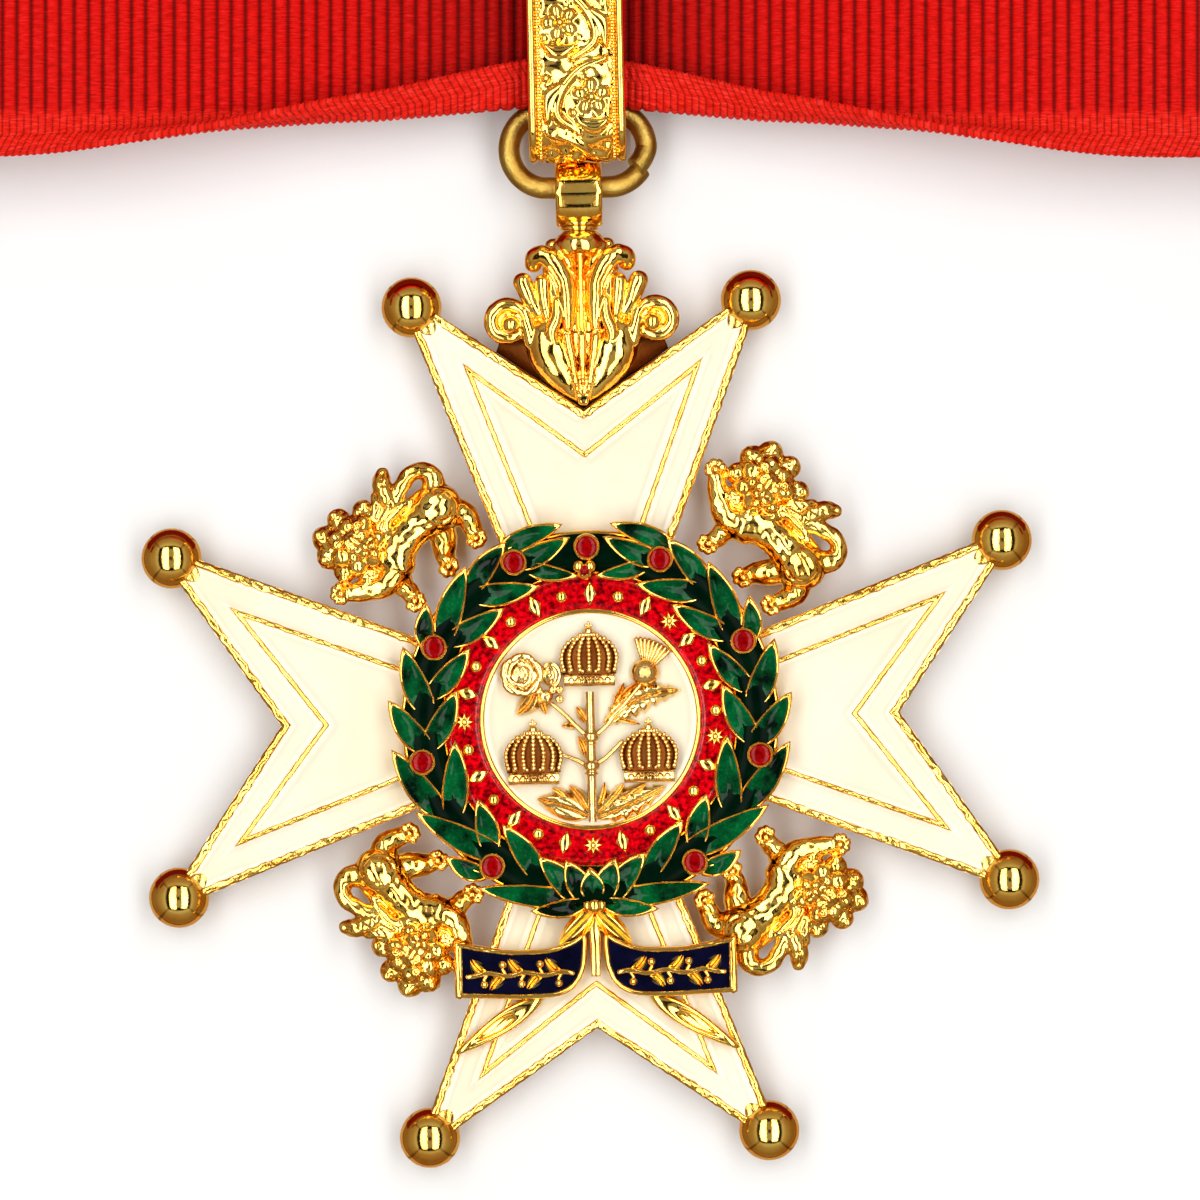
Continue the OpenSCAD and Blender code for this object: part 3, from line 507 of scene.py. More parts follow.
def bumped(tree, height, strength, distance):
    """A normal tilted by a height."""
    inputs = {"Height": height, "Strength": strength, "Distance": distance}
    return add_node(tree, "ShaderNodeBump", inputs).outputs["Normal"]


def ramp_of(tree, value, stops):
    """The colour that a value has on a ramp, from rows of place and colour, or of place and grey."""
    ramp = add_node(tree, "ShaderNodeValToRGB", {"Fac": value})
    while len(ramp.color_ramp.elements) < len(stops):
        ramp.color_ramp.elements.new(0.5)
    for element, (place, colour) in zip(ramp.color_ramp.elements, stops):
        element.position = place
        element.color = (*np.broadcast_to(colour, 3), 1)
    return ramp.outputs["Color"]


# Rows of beads

# Names and kinds of the node tree's inputs
BEAD_INPUTS = (
    ("Geometry", "Geometry"), ("Sides", "Int"), ("Uneven", "Float"), ("Seed", "Int"),
    ("Material", "Material"),
)


def bead_tree():
    """Nodes that put a ball at each point, sized by the point's own bead_size."""
    tree = bpy.data.node_groups.get("bead rows")
    if tree:
        return tree
    tree = bpy.data.node_groups.new("bead rows", "GeometryNodeTree")
    face = tree.interface
    face.new_socket("Geometry", in_out="OUTPUT", socket_type="NodeSocketGeometry")
    for name, kind in BEAD_INPUTS:
        face.new_socket(name, in_out="INPUT", socket_type=f"NodeSocket{kind}")
    given = tree.nodes.new("NodeGroupInput").outputs
    ball = add_node(
        tree, "GeometryNodeMeshUVSphere", {"Segments": given["Sides"], "Rings": 7, "Radius": 1.0},
    )
    size = add_node(tree, "GeometryNodeInputNamedAttribute", {"Name": "bead_size"}, data_type="FLOAT")
    least = maths(tree, "SUBTRACT", 1.0, given["Uneven"])
    # Input 2 is the least size, and output 1 the value
    chance = add_node(tree, "FunctionNodeRandomValue", {2: least, "Seed": given["Seed"]}, data_type="FLOAT")
    scale = maths(tree, "MULTIPLY", size.outputs[0], chance.outputs[1])
    rows = add_node(
        tree, "GeometryNodeInstanceOnPoints",
        {"Points": given["Geometry"], "Instance": ball.outputs["Mesh"], "Scale": scale},
    )
    real = add_node(tree, "GeometryNodeRealizeInstances", {"Geometry": rows.outputs["Instances"]})
    smooth = add_node(tree, "GeometryNodeSetShadeSmooth", {"Geometry": real.outputs["Geometry"]})
    paint = add_node(
        tree, "GeometryNodeSetMaterial",
        {"Geometry": smooth.outputs["Geometry"], "Material": given["Material"]},
    )
    add_node(tree, "NodeGroupOutput", {"Geometry": paint.outputs["Geometry"]})
    return tree


def beads(name, points, radii, material, sides=12, uneven=0.12, seed=4):
    """Balls at points, made by a node tree and kept as a plain mesh."""
    cloud = bpy.data.meshes.new(name)
    cloud.from_pydata((np.asarray(points) * MM).tolist(), [], [])
    sizes = cloud.attributes.new("bead_size", "FLOAT", "POINT")
    sizes.data.foreach_set("value", np.asarray(radii) * MM)
    piece = placed(name, cloud)
    rows = piece.modifiers.new("bead rows", "NODES")
    rows.node_group = bead_tree()
    given = {"Sides": sides, "Uneven": uneven, "Seed": seed, "Material": material}
    for item in rows.node_group.interface.items_tree:
        if item.in_out == "INPUT" and item.name in given:
            rows[item.identifier] = given[item.name]
    bpy.context.view_layer.update()
    made = piece.evaluated_get(bpy.context.evaluated_depsgraph_get())
    plain = bpy.data.meshes.new_from_object(made)
    piece.modifiers.remove(rows)
    piece.data = plain
    bpy.data.meshes.remove(cloud)
    plain.name = name
    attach(piece, "root")
    return piece


# Materials


def new_material(name):
    material = bpy.data.materials.new(name)
    material.use_nodes = True
    return material, material.node_tree, material.node_tree.nodes["Principled BSDF"]


def gilt(name, colour, rough, grain, grain_size, bump, dull=0.7):
    """Gilded metal with uneven tone, worn polish and a fine cast grain."""
    material, tree, shader = new_material(name)
    place = tree.nodes.new("ShaderNodeTexCoord").outputs["Object"]
    tone = noise(tree, place, 650.0, 4.0, 0.6)
    fine = noise(tree, place, grain_size, 3.0, 0.65)
    deep = tuple(c * d for c, d in zip(colour, (dull + 0.2, dull, dull - 0.2)))
    fill(
        tree, shader,
        {
            "Base Color": ramp_of(tree, tone, [(0.32, deep), (0.62, colour)]),
            "Roughness": ranged(tree, fine, 0.0, 1.0, rough * 0.7, rough * 1.4 + grain),
            "Normal": bumped(tree, fine, bump, 0.04 * MM), "Metallic": 1.0,
        },
    )
    return material


def enamel(name, dark, light, size, rough=0.06, bump=0.1, coat=1.0, painted_glints=0.0, spread=0.2):
    """Fired enamel: clouded colour under a glossy, slightly uneven skin."""
    material, tree, shader = new_material(name)
    place = tree.nodes.new("ShaderNodeTexCoord").outputs["Object"]
    cloud = noise(tree, place, size, 5.0, 0.6)
    colour = ramp_of(tree, cloud, [(0.5 - spread, dark), (0.5 + spread, light)])
    if painted_glints:
        # Small bright specks painted into the colour stand in for glints
        cells = add_node(tree, "ShaderNodeTexVoronoi", {"Vector": place, "Scale": size * 9})
        stops = [(0.05, 1.0 + 5 * painted_glints), (0.5, 1.0)]
        colour = mixed(tree, colour, ramp_of(tree, cells.outputs["Distance"], stops))
    fill(
        tree, shader,
        {
            "Base Color": colour,
            "Normal": bumped(tree, noise(tree, place, size * 1.7, 2.0), bump, 0.1 * MM), "Roughness": 0.5,
            "Specular IOR Level": 0.0, "Coat Weight": coat, "Coat Roughness": rough, "Coat IOR": 1.36,
        },
    )
    return material


LOOKS = {}


def looks():
    """All the finishes, made once."""
    if LOOKS:
        return LOOKS
    gold = tuple(bpy.context.scene.badge_metal.gold)
    dull_gold = tuple(bpy.context.scene.badge_metal.dull_gold)
    LOOKS.update(
        gold=gilt("polished gilding", gold, 0.06, 0.02, 9000.0, 0.1),
        hammered=gilt("worn edge gilding", gold, 0.09, 0.05, 4200.0, 0.6, 0.5),
        cast=gilt("cast gilding", gold, 0.07, 0.03, 5200.0, 0.25, 0.6),
        pale=gilt("relief gilding", (0.82, 0.58, 0.22), 0.09, 0.05, 6500.0, 0.3, 0.6),
        # Dark gilding painted as shade, for the crowns' domes and the sheet behind the mount's cup
        shadow=gilt("painted shade gilding", (0.12, 0.036, 0.007), 0.35, 0.1, 6500.0, 0.3),
        clasp=gilt("clasp metal", (0.55, 0.5, 0.4), 0.3, 0.1, 6500.0, 0.3),
        dull=gilt("dull ring gilding", dull_gold, 0.28, 0.2, 6000.0, 1.0, 0.5),
        cream=enamel("cream enamel", (0.9, 0.8, 0.58), (0.93, 0.865, 0.7), 120.0),
        green=enamel(
            "green enamel", (0.0, 0.003, 0.001), (0.0, 0.09, 0.021), 520.0, bump=0.04, coat=0.3,
            painted_glints=0.16, spread=0.12,
        ),
        ground=enamel(
            "deep green enamel", (0.0, 0.002, 0.001), (0.0, 0.009, 0.003), 900.0, rough=0.2, bump=0.04,
            coat=0.06,
        ),
        red=enamel(
            "red enamel", (0.07, 0.0, 0.001), (0.72, 0.001, 0.006), 3200.0, bump=0.05, coat=0.7,
            painted_glints=0.2, spread=0.13,
        ),
        navy=enamel("navy enamel", (0.001, 0.001, 0.005), (0.003, 0.003, 0.018), 900.0, bump=0.04),
        berry=enamel("berry enamel", (0.1, 0.0, 0.0), (0.42, 0.0, 0.002), 3500.0, coat=0.36, painted_glints=0.14),
        silk=ribbon_look(bpy.context.scene.badge_ribbon),
    )
    return LOOKS


# Cross

ARM_TIP = (10.8, 25.3)
ARM_NECK = 1.8
NOTCH_OUT = 17.9
BALL_R = 1.75
BALL_INSET = 1.55
CELL_ROOT = 0.68 * WREATH_R


def side_at(y):
    return ARM_NECK + (ARM_TIP[0] - ARM_NECK) * (y - ARM_NECK) / (ARM_TIP[1] - ARM_NECK)


ARM = np.array(
    [
        [side_at(CELL_ROOT), CELL_ROOT], ARM_TIP, [0, NOTCH_OUT], [-ARM_TIP[0], ARM_TIP[1]],
        [-side_at(CELL_ROOT), CELL_ROOT],
    ]
)
FIELD = np.array([[2.33, 9.34], [6.3, 19.9], [0, 15.1], [-6.3, 19.9], [-2.33, 9.34]])
CROSS = np.concatenate(
    [
        turned([[ARM_NECK, ARM_NECK], ARM_TIP, [0, NOTCH_OUT], [-ARM_TIP[0], ARM_TIP[1]]], a)
        for a in QUARTERS
    ]
)
TIP_WAY = unit(
    unit(np.array([ARM_NECK - ARM_TIP[0], ARM_NECK - ARM_TIP[1]]))
    + unit(np.array([-ARM_TIP[0], NOTCH_OUT - ARM_TIP[1]]))
)
BALL_AT = np.array(ARM_TIP) + TIP_WAY * BALL_INSET
ARM_NAMES = ("top", "left", "bottom", "right")
# Shares of the way from the rim to the raised line, and distances in from that line
BAND_STEPS = (0, 0.04, 0.09, 0.16, 0.26, 0.4, 0.5, 0.6, 0.74, 0.84, 0.91, 0.96, 1.0)
FIELD_STEPS = (0.0, 0.05, 0.12, 0.22, 0.36, 0.55, 0.8)


def make_cross(sizes):
    """The gilt cross: its plate, hammered rims, raised lines and balls."""
    shells = Shells()
    shells.plateau(CROSS, [(0.12, CROSS_BACK), (0.0, CROSS_BACK + 0.12), (0.0, 2.3), (0.2, 2.36)], 1)
    # One rim goes round all four arms
    rim = half_round(0.0, sizes.rim_width / MM, 2.1, 2.32, 0.34, 11, 0.4)
    shells.loop_bead(CROSS, rim, 0.14, sizes.hammering / MM, 3, finish=1)
    width = sizes.ridge_width / MM
    ridge = half_round(-width, width, 2.2, 2.38, 0.3, 9, 0.4)
    for i, angle in enumerate(QUARTERS):
        shells.loop_bead(turned(FIELD, angle), ridge, 0.16, 0.6 * sizes.hammering / MM, 11 + i, finish=1)
    for angle in QUARTERS:
        for s in (-1, 1):
            at = turned([s * BALL_AT[0], BALL_AT[1]], angle)
            shells.ball((*at, BALL_R), BALL_R, 40)
            # The arm's tip ends in a small fillet against the ball
            back = turned([s * TIP_WAY[0], TIP_WAY[1]], angle)
            fillet = at_level([at + back * 1.5, at + back * 2.05], BALL_R)
            shells.rod(fillet, [1.0, 0.72], 18, finish=1)
    finished("cross_frame_gilt", shells, ["gold", "hammered"], ["cross_frame"], crease=50)


def make_arm_enamel(sizes):
    """Cream enamel in the arms, which climbs a little up the metal that it meets."""
    dish = sizes.enamel_dish / MM
    high = CROSS_TOP - 0.05
    for name, angle in zip(ARM_NAMES, QUARTERS):
        outer = turned(ARM, angle)
        inner = turned(FIELD, angle)
        steps = counts_for(outer, 0.6)
        a = stepped(inset(outer, sizes.rim_width / MM - 0.06), steps)
        b = stepped(inset(inner, 0.06 - sizes.ridge_width / MM), steps)
        rings = []
        for t in BAND_STEPS:
            flat = a * (1 - t) + b * t
            level = high - dish * (1 - abs(2 * t - 1) ** 4)
            rings.append(at_level(flat, level + 0.012 * ripple(flat, 5.0, 40)))
        deep = [0, 0, 0.3]
        band = Shells().grid([*rings, rings[-1] - deep, rings[0] - deep], around=True)
        finished(f"arm_band_{name}_enamel", band, ["cream"], [f"arm_band_{name}"])
        rows = [(0.0, high - 0.35), (-0.05, high - 0.3)]
        rows += [(-0.05 + d, high - dish * (1 - (1 - min(1, d / 0.9)) ** 3)) for d in FIELD_STEPS]
        counts = counts_for(inner, 0.6)
        field = Shells().grid([at_level(stepped(inset(inner, by), counts), level) for by, level in rows])
        finished(f"arm_field_{name}_enamel", field, ["cream"], [f"arm_field_{name}"])


# Centre

STAR_CLOCK = (-90, 40, 99, 180)
MARK_PITCH = 13
RING_MID_R = (RING_IN_R + 0.69 * WREATH_R) / 2
DISC_R = 8.6
# Levels of the enamels' feet, and of the marks' feet and shoulders
CELL_FOOT = 3.15
MARK_FOOT = 3.2
MARK_TOP = 3.6
# Distances in from the cream disc's edge
DISC_STEPS = (0, 0.05, 0.12, 0.25, 0.45, 0.8, 2.0, 4.0, 6.06)


def star(r, points=8, waist=0.42):
    reaches = (r, waist * r)
    return np.array([clock(-180 * i / points, reaches[i % 2]) for i in range(2 * points)])


def ring_marks():
    """Rows of kind, place and clock angle: stars, and lozenges in turn with pellets."""
    rows = []
    for i, start in enumerate(STAR_CLOCK):
        rows.append(("star", start))
        span = (STAR_CLOCK[(i + 1) % 4] - start + 360) % 360
        n = round(span / MARK_PITCH)
        for k in range(1, n):
            rows.append(("lozenge" if k % 2 else "pellet", start + span * k / n))
    return rows


def add_marks(shells, reach):
    """The raised stars, lozenges and pellets of the red ring."""
    for kind, angle in ring_marks():
        at = clock(angle, RING_MID_R)
        if kind == "pellet":
            rows = [(0.32, MARK_FOOT), (0.32, MARK_TOP), (0.24, 3.69), (0.08, 3.73)]
            shells.turned_solid(rows, at, 14)
        elif kind == "star":
            shape = turned(star(reach), -angle) + at
            shells.plateau(shape, [(0.0, MARK_FOOT), (0.0, MARK_TOP), (0.05, 3.68), (0.1, 3.71)])
            shells.ball((*at, 3.66), 0.2, 10, 0.7)
        else:
            shape = turned([[0.42, 0], [0, 0.74], [-0.42, 0], [0, -0.74]], -angle) + at
            shells.plateau(shape, [(0.0, MARK_FOOT), (0.0, MARK_TOP), (0.07, 3.69), (0.24, 3.74)])


def make_centre(sizes):
    """The gold disc with the red ring's raised marks, the two enamels and the line between."""
    shells = Shells()
    rows = [
        (0.2, DISC_LEVEL), (DISC_R - 0.05, DISC_LEVEL), (DISC_R, DISC_LEVEL + 0.05), (DISC_R, DISC_TOP),
        (0.2, DISC_TOP),
    ]
    shells.turned_solid(rows, sides=96, finish=1)
    shells.lathe(half_round(6.12, 0.3, DISC_TOP - 0.1, 3.55, 0.14, 7), sides=160)
    add_marks(shells, sizes.star_reach / MM)
    finished("centre_gilt", shells, ["gold", "cast"], ["centre_disc"], crease=40)
    rows = [(8.5, CELL_FOOT), (8.5, 3.42)]
    rows += [(r, 3.56 - 0.07 * (1 - abs((r - 7.3) / 0.95) ** 4)) for r in np.linspace(8.1, 6.4, 11)]
    rows += [(6.36, CELL_FOOT)]
    red = Shells().lathe(rows, sides=160)
    finished("red_ring_enamel", red, ["red"], ["red_ring"])
    rows = [(0.1, CELL_FOOT), (6.15, CELL_FOOT)]
    rows += [(6.16 - d, 3.57 - 0.08 * (1 - (1 - min(1, d / 0.8)) ** 3)) for d in DISC_STEPS]
    cream = Shells().turned_solid(rows, sides=128)
    finished("cream_disc_enamel", cream, ["cream"], ["cream_disc"])


# Wreath

# Clock angle and reach of the tip, clock angle and reach of the base, and width
LEAF_ROWS = [
    (6.7, 0.97, 23, 0.93, 0.8), (24, 0.966, 39, 0.87, 0.9), (37.7, 0.97, 56.5, 0.83, 1),
    (53.2, 0.99, 62.8, 0.89, 0.75), (67.5, 0.99, 82.6, 0.82, 1), (83.3, 1, 96.5, 0.835, 0.95),
    (97.3, 0.99, 117, 0.87, 1), (116.6, 0.974, 140, 0.81, 1), (132, 0.985, 142.3, 0.93, 0.75),
    (144.7, 1, 168, 0.88, 0.85), (161.2, 0.99, 174, 0.91, 0.7), (5, 0.9, 21.5, 0.85, 0.85),
    (3, 0.705, 19, 0.79, 0.65), (19.5, 0.7, 39.5, 0.81, 0.9), (36.2, 0.69, 56.5, 0.77, 0.9),
    (58, 0.685, 77, 0.77, 0.9), (76, 0.668, 95.5, 0.78, 0.95), (97.4, 0.672, 121, 0.8, 1),
    (123.6, 0.677, 139.5, 0.79, 0.9), (138.5, 0.672, 158, 0.79, 0.9),
]
# Clock angle and reach of the tips of the fan at the foot
FAN_ROWS = [(158.5, 0.705), (170.8, 0.69), (181.5, 0.725), (191.5, 0.7), (202.3, 0.72)]
# Clock angle and reach of each berry
BERRY_ROWS = [
    (-24.7, 0.858), (0, 0.848), (24.7, 0.858), (-64, 0.845), (64, 0.845), (-103, 0.852), (103, 0.852),
    (-145, 0.868), (145, 0.868),
]


def leaf_ring(base, tip, width, shrink, bend, steps=11):
    """A leaf's closed outline, smaller by a distance, and each point's share of the way to the tip."""
    u = unit(tip - base)
    side = np.array([u[1], -u[0]])
    start = base + u * 2.0 * shrink
    long = np.linalg.norm(tip - base) - 4.6 * shrink
    w = max(0.02, width - 2 * shrink)
    t = np.arange(1, steps + 1) / (steps + 1)
    half = 0.5 * np.sin(PI * t**0.85) ** 0.75 * w
    mid = start + u * long * t[:, None] + side * (bend * np.sin(PI * t))[:, None]
    right = mid + side * half[:, None]
    left = mid - side * half[:, None]
    ring = np.concatenate([[start], right, [start + u * long], left[::-1]])
    return ring, np.concatenate([[0], t, [1], t[::-1]])


def add_leaf(gilt_shells, enamel_shells, base, tip, width, bend, lift, edge):
    """A leaf with a gilt rim and base and a domed cell of enamel."""
    def rings(rows):
        out = []
        for shrink, level in rows:
            ring, t = leaf_ring(base, tip, width, shrink, bend)
            sink = 0.42 * np.clip((0.34 - t) / 0.34, 0, 1) ** 1.5
            out.append(at_level(ring, level + lift * (t - 0.42) - sink))
        return out

    top = LEAF_TOP - 0.05
    rows = [
        (0.04, LEAF_LOW - 0.25), (0.0, LEAF_LOW), (0.0, top - 0.14), (0.25 * edge, top - 0.03),
        (0.5 * edge, top), (0.75 * edge, top - 0.03), (edge, top - 0.12), (edge + 0.02, top - 0.3),
    ]
    gilt_shells.grid(rings(rows))
    w = width / 2
    rows = [
        (edge + 0.01, top - 0.28), (edge - 0.02, top - 0.06), (edge + 0.04, top - 0.07),
        (edge + 0.12 * w, top - 0.075), (edge + 0.3 * w, top - 0.065), (edge + 0.55 * w, top - 0.06),
    ]
    enamel_shells.grid(rings(rows))


def make_wreath(sizes):
    """The laurel wreath: gilt leaves, their green enamel, the berries and the crest on top."""
    metal = Shells()
    green = Shells()
    width = sizes.leaf_width / MM
    for s in (-1, 1):
        for i, (tip_at, tip_r, base_at, base_r, w) in enumerate(LEAF_ROWS):
            tip = clock(s * tip_at, tip_r * WREATH_R)
            base = clock(s * base_at, base_r * WREATH_R)
            base = tip + (base - tip) * 1.38
            outer = i < 11
            bend = s * (0.16 if outer else -0.12)
            add_leaf(metal, green, base, tip, w * width, bend, 0.14 if outer else 0.1, sizes.leaf_edge / MM)
    for i, (tip_at, tip_r) in enumerate(FAN_ROWS):
        tip = clock(tip_at, tip_r * WREATH_R)
        base = clock(180 + 2.4 * (i - 2), 10.7)
        add_leaf(metal, green, base, tip, 0.92 * width, 0.08 * (i - 2), 0.2, sizes.leaf_edge / MM)
    rows = [
        (8.45, DISC_LEVEL), (10.85, DISC_LEVEL), (10.93, DISC_LEVEL + 0.1), (10.93, 3.6), (10.8, 3.68),
        (8.6, 3.68), (8.45, 3.6),
    ]
    metal.lathe(rows, sides=128)
    rows = [(8.5, 3.5), (10.78, 3.5), (10.74, 3.76), (10.3, 3.98), (9.7, 4.06), (9.1, 3.98), (8.55, 3.76)]
    ground = Shells().lathe(rows, sides=128)
    # The sheath at the foot from which both sides and the fan grow
    foot = clock(180, 10.75)
    metal.ball((*foot, 4.0), 0.42, 18, 0.7)
    for s in (-1, 1):
        metal.ball((foot[0] + s * 0.36, foot[1], 3.95), 0.34, 16, 0.7)
    for angle, reach in BERRY_ROWS:
        r = sizes.berry_radius / MM
        cup = [
            (r - 0.02, 3.6), (r + 0.2, 3.6), (r + 0.2, 4.22), (r + 0.15, 4.34), (r + 0.07, 4.38), (r, 4.32),
            (r - 0.03, 4.0),
        ]
        metal.lathe(cup, clock(angle, reach * WREATH_R), 32)
    # The small crest between the top berry and the red ring
    at = clock(-1.0, 0.745 * WREATH_R)
    for s in (-1, 1):
        metal.ball((at[0] + s * 0.34, at[1] + 0.1, 4.1), 0.36, 16, 0.8)
    metal.turned_solid([(0.1, 3.6), (0.5, 3.6), (0.5, 4.0), (0.3, 4.2), (0.1, 4.24)], at - [0, 0.2], 20)
    finished("laurel_gilt", metal, ["cast"], ["laurel_wreath"], crease=60)
    finished("laurel_enamel", green, ["green"], ["leaf_enamel_left", "leaf_enamel_right"])
    finished("laurel_ground_enamel", ground, ["ground"])
    heart = Shells()
    for s in (-1, 1):
        heart.ball((at[0] + s * 0.16, at[1] - 0.02, 4.2), 0.21, 14, 0.8)
    heart.turned_solid([(0.02, 4.05), (0.3, 4.05), (0.26, 4.3), (0.05, 4.36)], at - [0, 0.16], 16)
    finished("crest_enamel", heart, ["berry"])
    for i, (angle, reach) in enumerate(BERRY_ROWS):
        r = sizes.berry_radius / MM - 0.01
        rows = [(0.03, 3.8), (r, 3.8), (r, 4.22)]
        rows += [(r * math.cos(a), 4.25 + 0.09 * math.sin(a)) for a in np.linspace(0.15, 1.52, 7)]
        berry = Shells().turned_solid(rows, clock(angle, reach * WREATH_R), 28)
        finished(f"berry_{i + 1}_enamel", berry, ["berry"], [f"berry_{i + 1}"])


# Relief on the cream disc

DEVICE_R = RING_IN_R - 0.28
CROWN_AT = {
    "top": (0.0, 0.31 * DEVICE_R), "left": (-0.54 * DEVICE_R, -0.6 * DEVICE_R),
    "right": (0.54 * DEVICE_R, -0.6 * DEVICE_R),
}
CROWN_HALF = 0.28 * DEVICE_R
CROWN_H = 0.62 * DEVICE_R
CROWN_TOP = 0.8 * CROWN_H
# Place along the sceptre and radius
SCEPTRE_ROWS = [
    (-0.96 * DEVICE_R, 0.24), (-5.2, 0.25), (-3.4, 0.28), (-3.2, 0.33), (-3.12, 0.42), (-2.98, 0.33),
    (-2.86, 0.45), (-2.66, 0.5), (-2.48, 0.44), (-2.36, 0.3), (-2.0, 0.29), (-1.5, 0.29), (-1.42, 0.36),
    (-1.3, 0.32), (-1.2, 0.44), (-1.0, 0.5), (-0.8, 0.44), (-0.72, 0.3), (0.0, 0.27), (1.6, 0.26),
]
SHOOTS = [
    [(0.2, -1.0), (0.9, -0.4), (1.4, 0.2), (2.1, 0.75)],
    [(-0.2, -1.0), (-0.9, -0.3), (-1.5, 0.35), (-2.2, 0.95)],
    [(0.2, -2.6), (0.75, -2.3), (1.35, -1.75), (1.8, -1.3)],
    [(-0.2, -2.7), (-0.8, -2.35), (-1.4, -2.1), (-1.9, -1.9)],
]
# Base, tip, width and number of teeth of each leaf by the sceptre
SCEPTRE_LEAVES = [
    ((0.2, -5.7), (4.3, -3.9), 1.35, 6), ((0.3, -5.4), (1.9, -3.7), 0.9, 4),
    ((0.9, -5.0), (3.2, -3.75), 0.8, 0), ((-0.2, -5.6), (-3.2, -4.5), 1.25, 0),
    ((-0.2, -5.4), (-1.3, -3.75), 0.75, 0), ((-1.2, -4.9), (-2.3, -3.9), 0.6, 0),
    ((-0.3, -2.2), (-0.75, -0.95), 0.55, 0), ((0.9, -0.2), (1.35, 0.75), 0.45, 3),
    ((-0.3, -0.2), (-0.8, 0.75), 0.6, 0), ((-0.8, -0.45), (-1.7, -0.35), 0.4, 0),
    ((0.35, -5.0), (0.75, -3.6), 0.45, 3),
]
# Place and size of each bud under the rose
BUDS = [(-2.55, 1.35, 0.42), (-1.75, 1.2, 0.26), (-1.72, 1.75, 0.25), (-2.1, 1.75, 0.26), (-3.0, 1.75, 0.3)]
# Base, tip, width, height, bend and number of teeth of each leaf of the thistle
THISTLE_LEAVES = [
    ((0.75, -0.35), (5.3, 1.6), 1.9, 0.45, -0.55, 8), ((1.35, 0.75), (2.0, 2.1), 0.6, 0.5, 0.0, 3),
    ((1.3, 0.5), (3.0, 2.15), 0.65, 0.55, -0.2, 4), ((1.2, 0.15), (2.9, -0.35), 0.5, 0.45, 0.0, 3),
]


def crown_half_at(y):
    """Half the width of the crown's dome at a height."""
    t = np.clip((y - 1.0) / (CROWN_TOP - 1.0), 0, 1)
    return CROWN_HALF * (1 - t**2.6) ** 0.5 * (0.9 + 0.12 * np.sin(PI * t))


def crown_level_at(x, y):
    """Height of the dome over the disc."""
    w = np.maximum(crown_half_at(y), 0.05)
    t = np.clip((y - 0.7) / (CROWN_TOP - 0.7), 0, 1)
    return 0.25 + 0.5 * np.sqrt(np.clip(1 - (x / w) ** 2, 0, 1)) * (1 - t**4) ** 0.5


def add_crown(shells, middle):
    """A crown's dome, and its band with a rail along each edge and a row of links."""
    # The dome takes the second finish, dark gilding painted as shade between the arches
    rings = []
    for y in np.concatenate([[0.7], np.linspace(0.72, CROWN_TOP - 0.02, 13)]):
        x = np.linspace(-1, 1, 15) * max(float(crown_half_at(y)), 0.1)
        dome = np.column_stack([x, np.full(15, y), crown_level_at(x, y) - 0.06])
        rings.append(np.concatenate([dome, [[x[-1], y, 0.0], [x[0], y, 0.0]]]))
    shells.grid(np.array(rings) + middle, finish=1)
    rings = []
    for x in np.linspace(-1.46, 1.46, 15):
        bulge = 0.34 + 0.3 * math.sqrt(max(0, 1 - (x / 1.56) ** 2))
        rows = [
            (0.04, 0), (0.0, bulge * 0.7), (0.06, bulge), (0.16, bulge + 0.05), (0.22, bulge - 0.1),
            (0.56, bulge - 0.1), (0.62, bulge + 0.05), (0.72, bulge), (0.76, bulge * 0.7), (0.74, 0),
        ]
        rings.append([(x, y, z) for y, z in rows])
    shells.grid(np.array(rings) + middle)
    for i in range(6):
        x = -1.05 + 0.42 * i
        bulge = 0.3 + 0.3 * math.sqrt(1 - (x / 1.4) ** 2)
        link = arc((x, 0.3), 1.0, np.linspace(-0.3, PI + 0.3, 9), bulge, (0.16, 0.2))
        shells.rod(link + middle, 0.055, 6)


def add_arches(shells, middle):
    """A crown's seven arches, and the places and radii of the pearls along them."""
    points = []
    radii = []
    for share in (-0.97, -0.7, -0.36, 0.0, 0.36, 0.7, 0.97):
        line = []
        for y in np.linspace(0.95, CROWN_TOP - 0.08, 10):
            x = share * float(crown_half_at(y)) * 0.97
            line.append([x, y, float(crown_level_at(x, y)) + 0.02])
        line = np.array(line) + middle
        shells.rod(line, 0.085, 8)
        points.append(line[1:] + [0, 0, 0.08])
        radii += [0.165] * 9
        shells.ball(line[0] + [0, 0.02, 0.06], 0.17, 14)
    for x in (-1.12, -0.38, 0.38, 1.12):
        points.append([middle + [x, 0.88, float(crown_level_at(x, 0.9)) + 0.08]])
        radii.append(0.13)
    return np.concatenate(points), radii


def make_crowns():
    """The three arched crowns with their pearls."""
    for side, at in CROWN_AT.items():
        middle = np.array([*at, RELIEF])
        shells = Shells()
        add_crown(shells, middle)
        points, radii = add_arches(shells, middle)
        # The ball and the small cross on top
        ball_y = CROWN_TOP + 0.1
        shells.ball(middle + [0, ball_y, 0.32], 0.3, 16)
        shells.rod(np.array([[-0.28, ball_y, 0.34], [0.28, ball_y, 0.34]]) + middle, 0.07, 8)
        cross_y = CROWN_TOP + 0.44
        for a, b in (((0, -0.18), (0, 0.2)), ((-0.17, 0.02), (0.17, 0.02))):
            line = [[x, cross_y + y, 0.3] for x, y in (a, b)]
            shells.rod(np.array(line) + middle, 0.08, 8)
        look = ["pale", "shadow"]
        finished(f"crown_{side}_gilt", shells, look, [f"crown_{side}"], crease=60)
        beads(f"crown_{side}_pearls_gilt", points, radii, looks()["pale"])


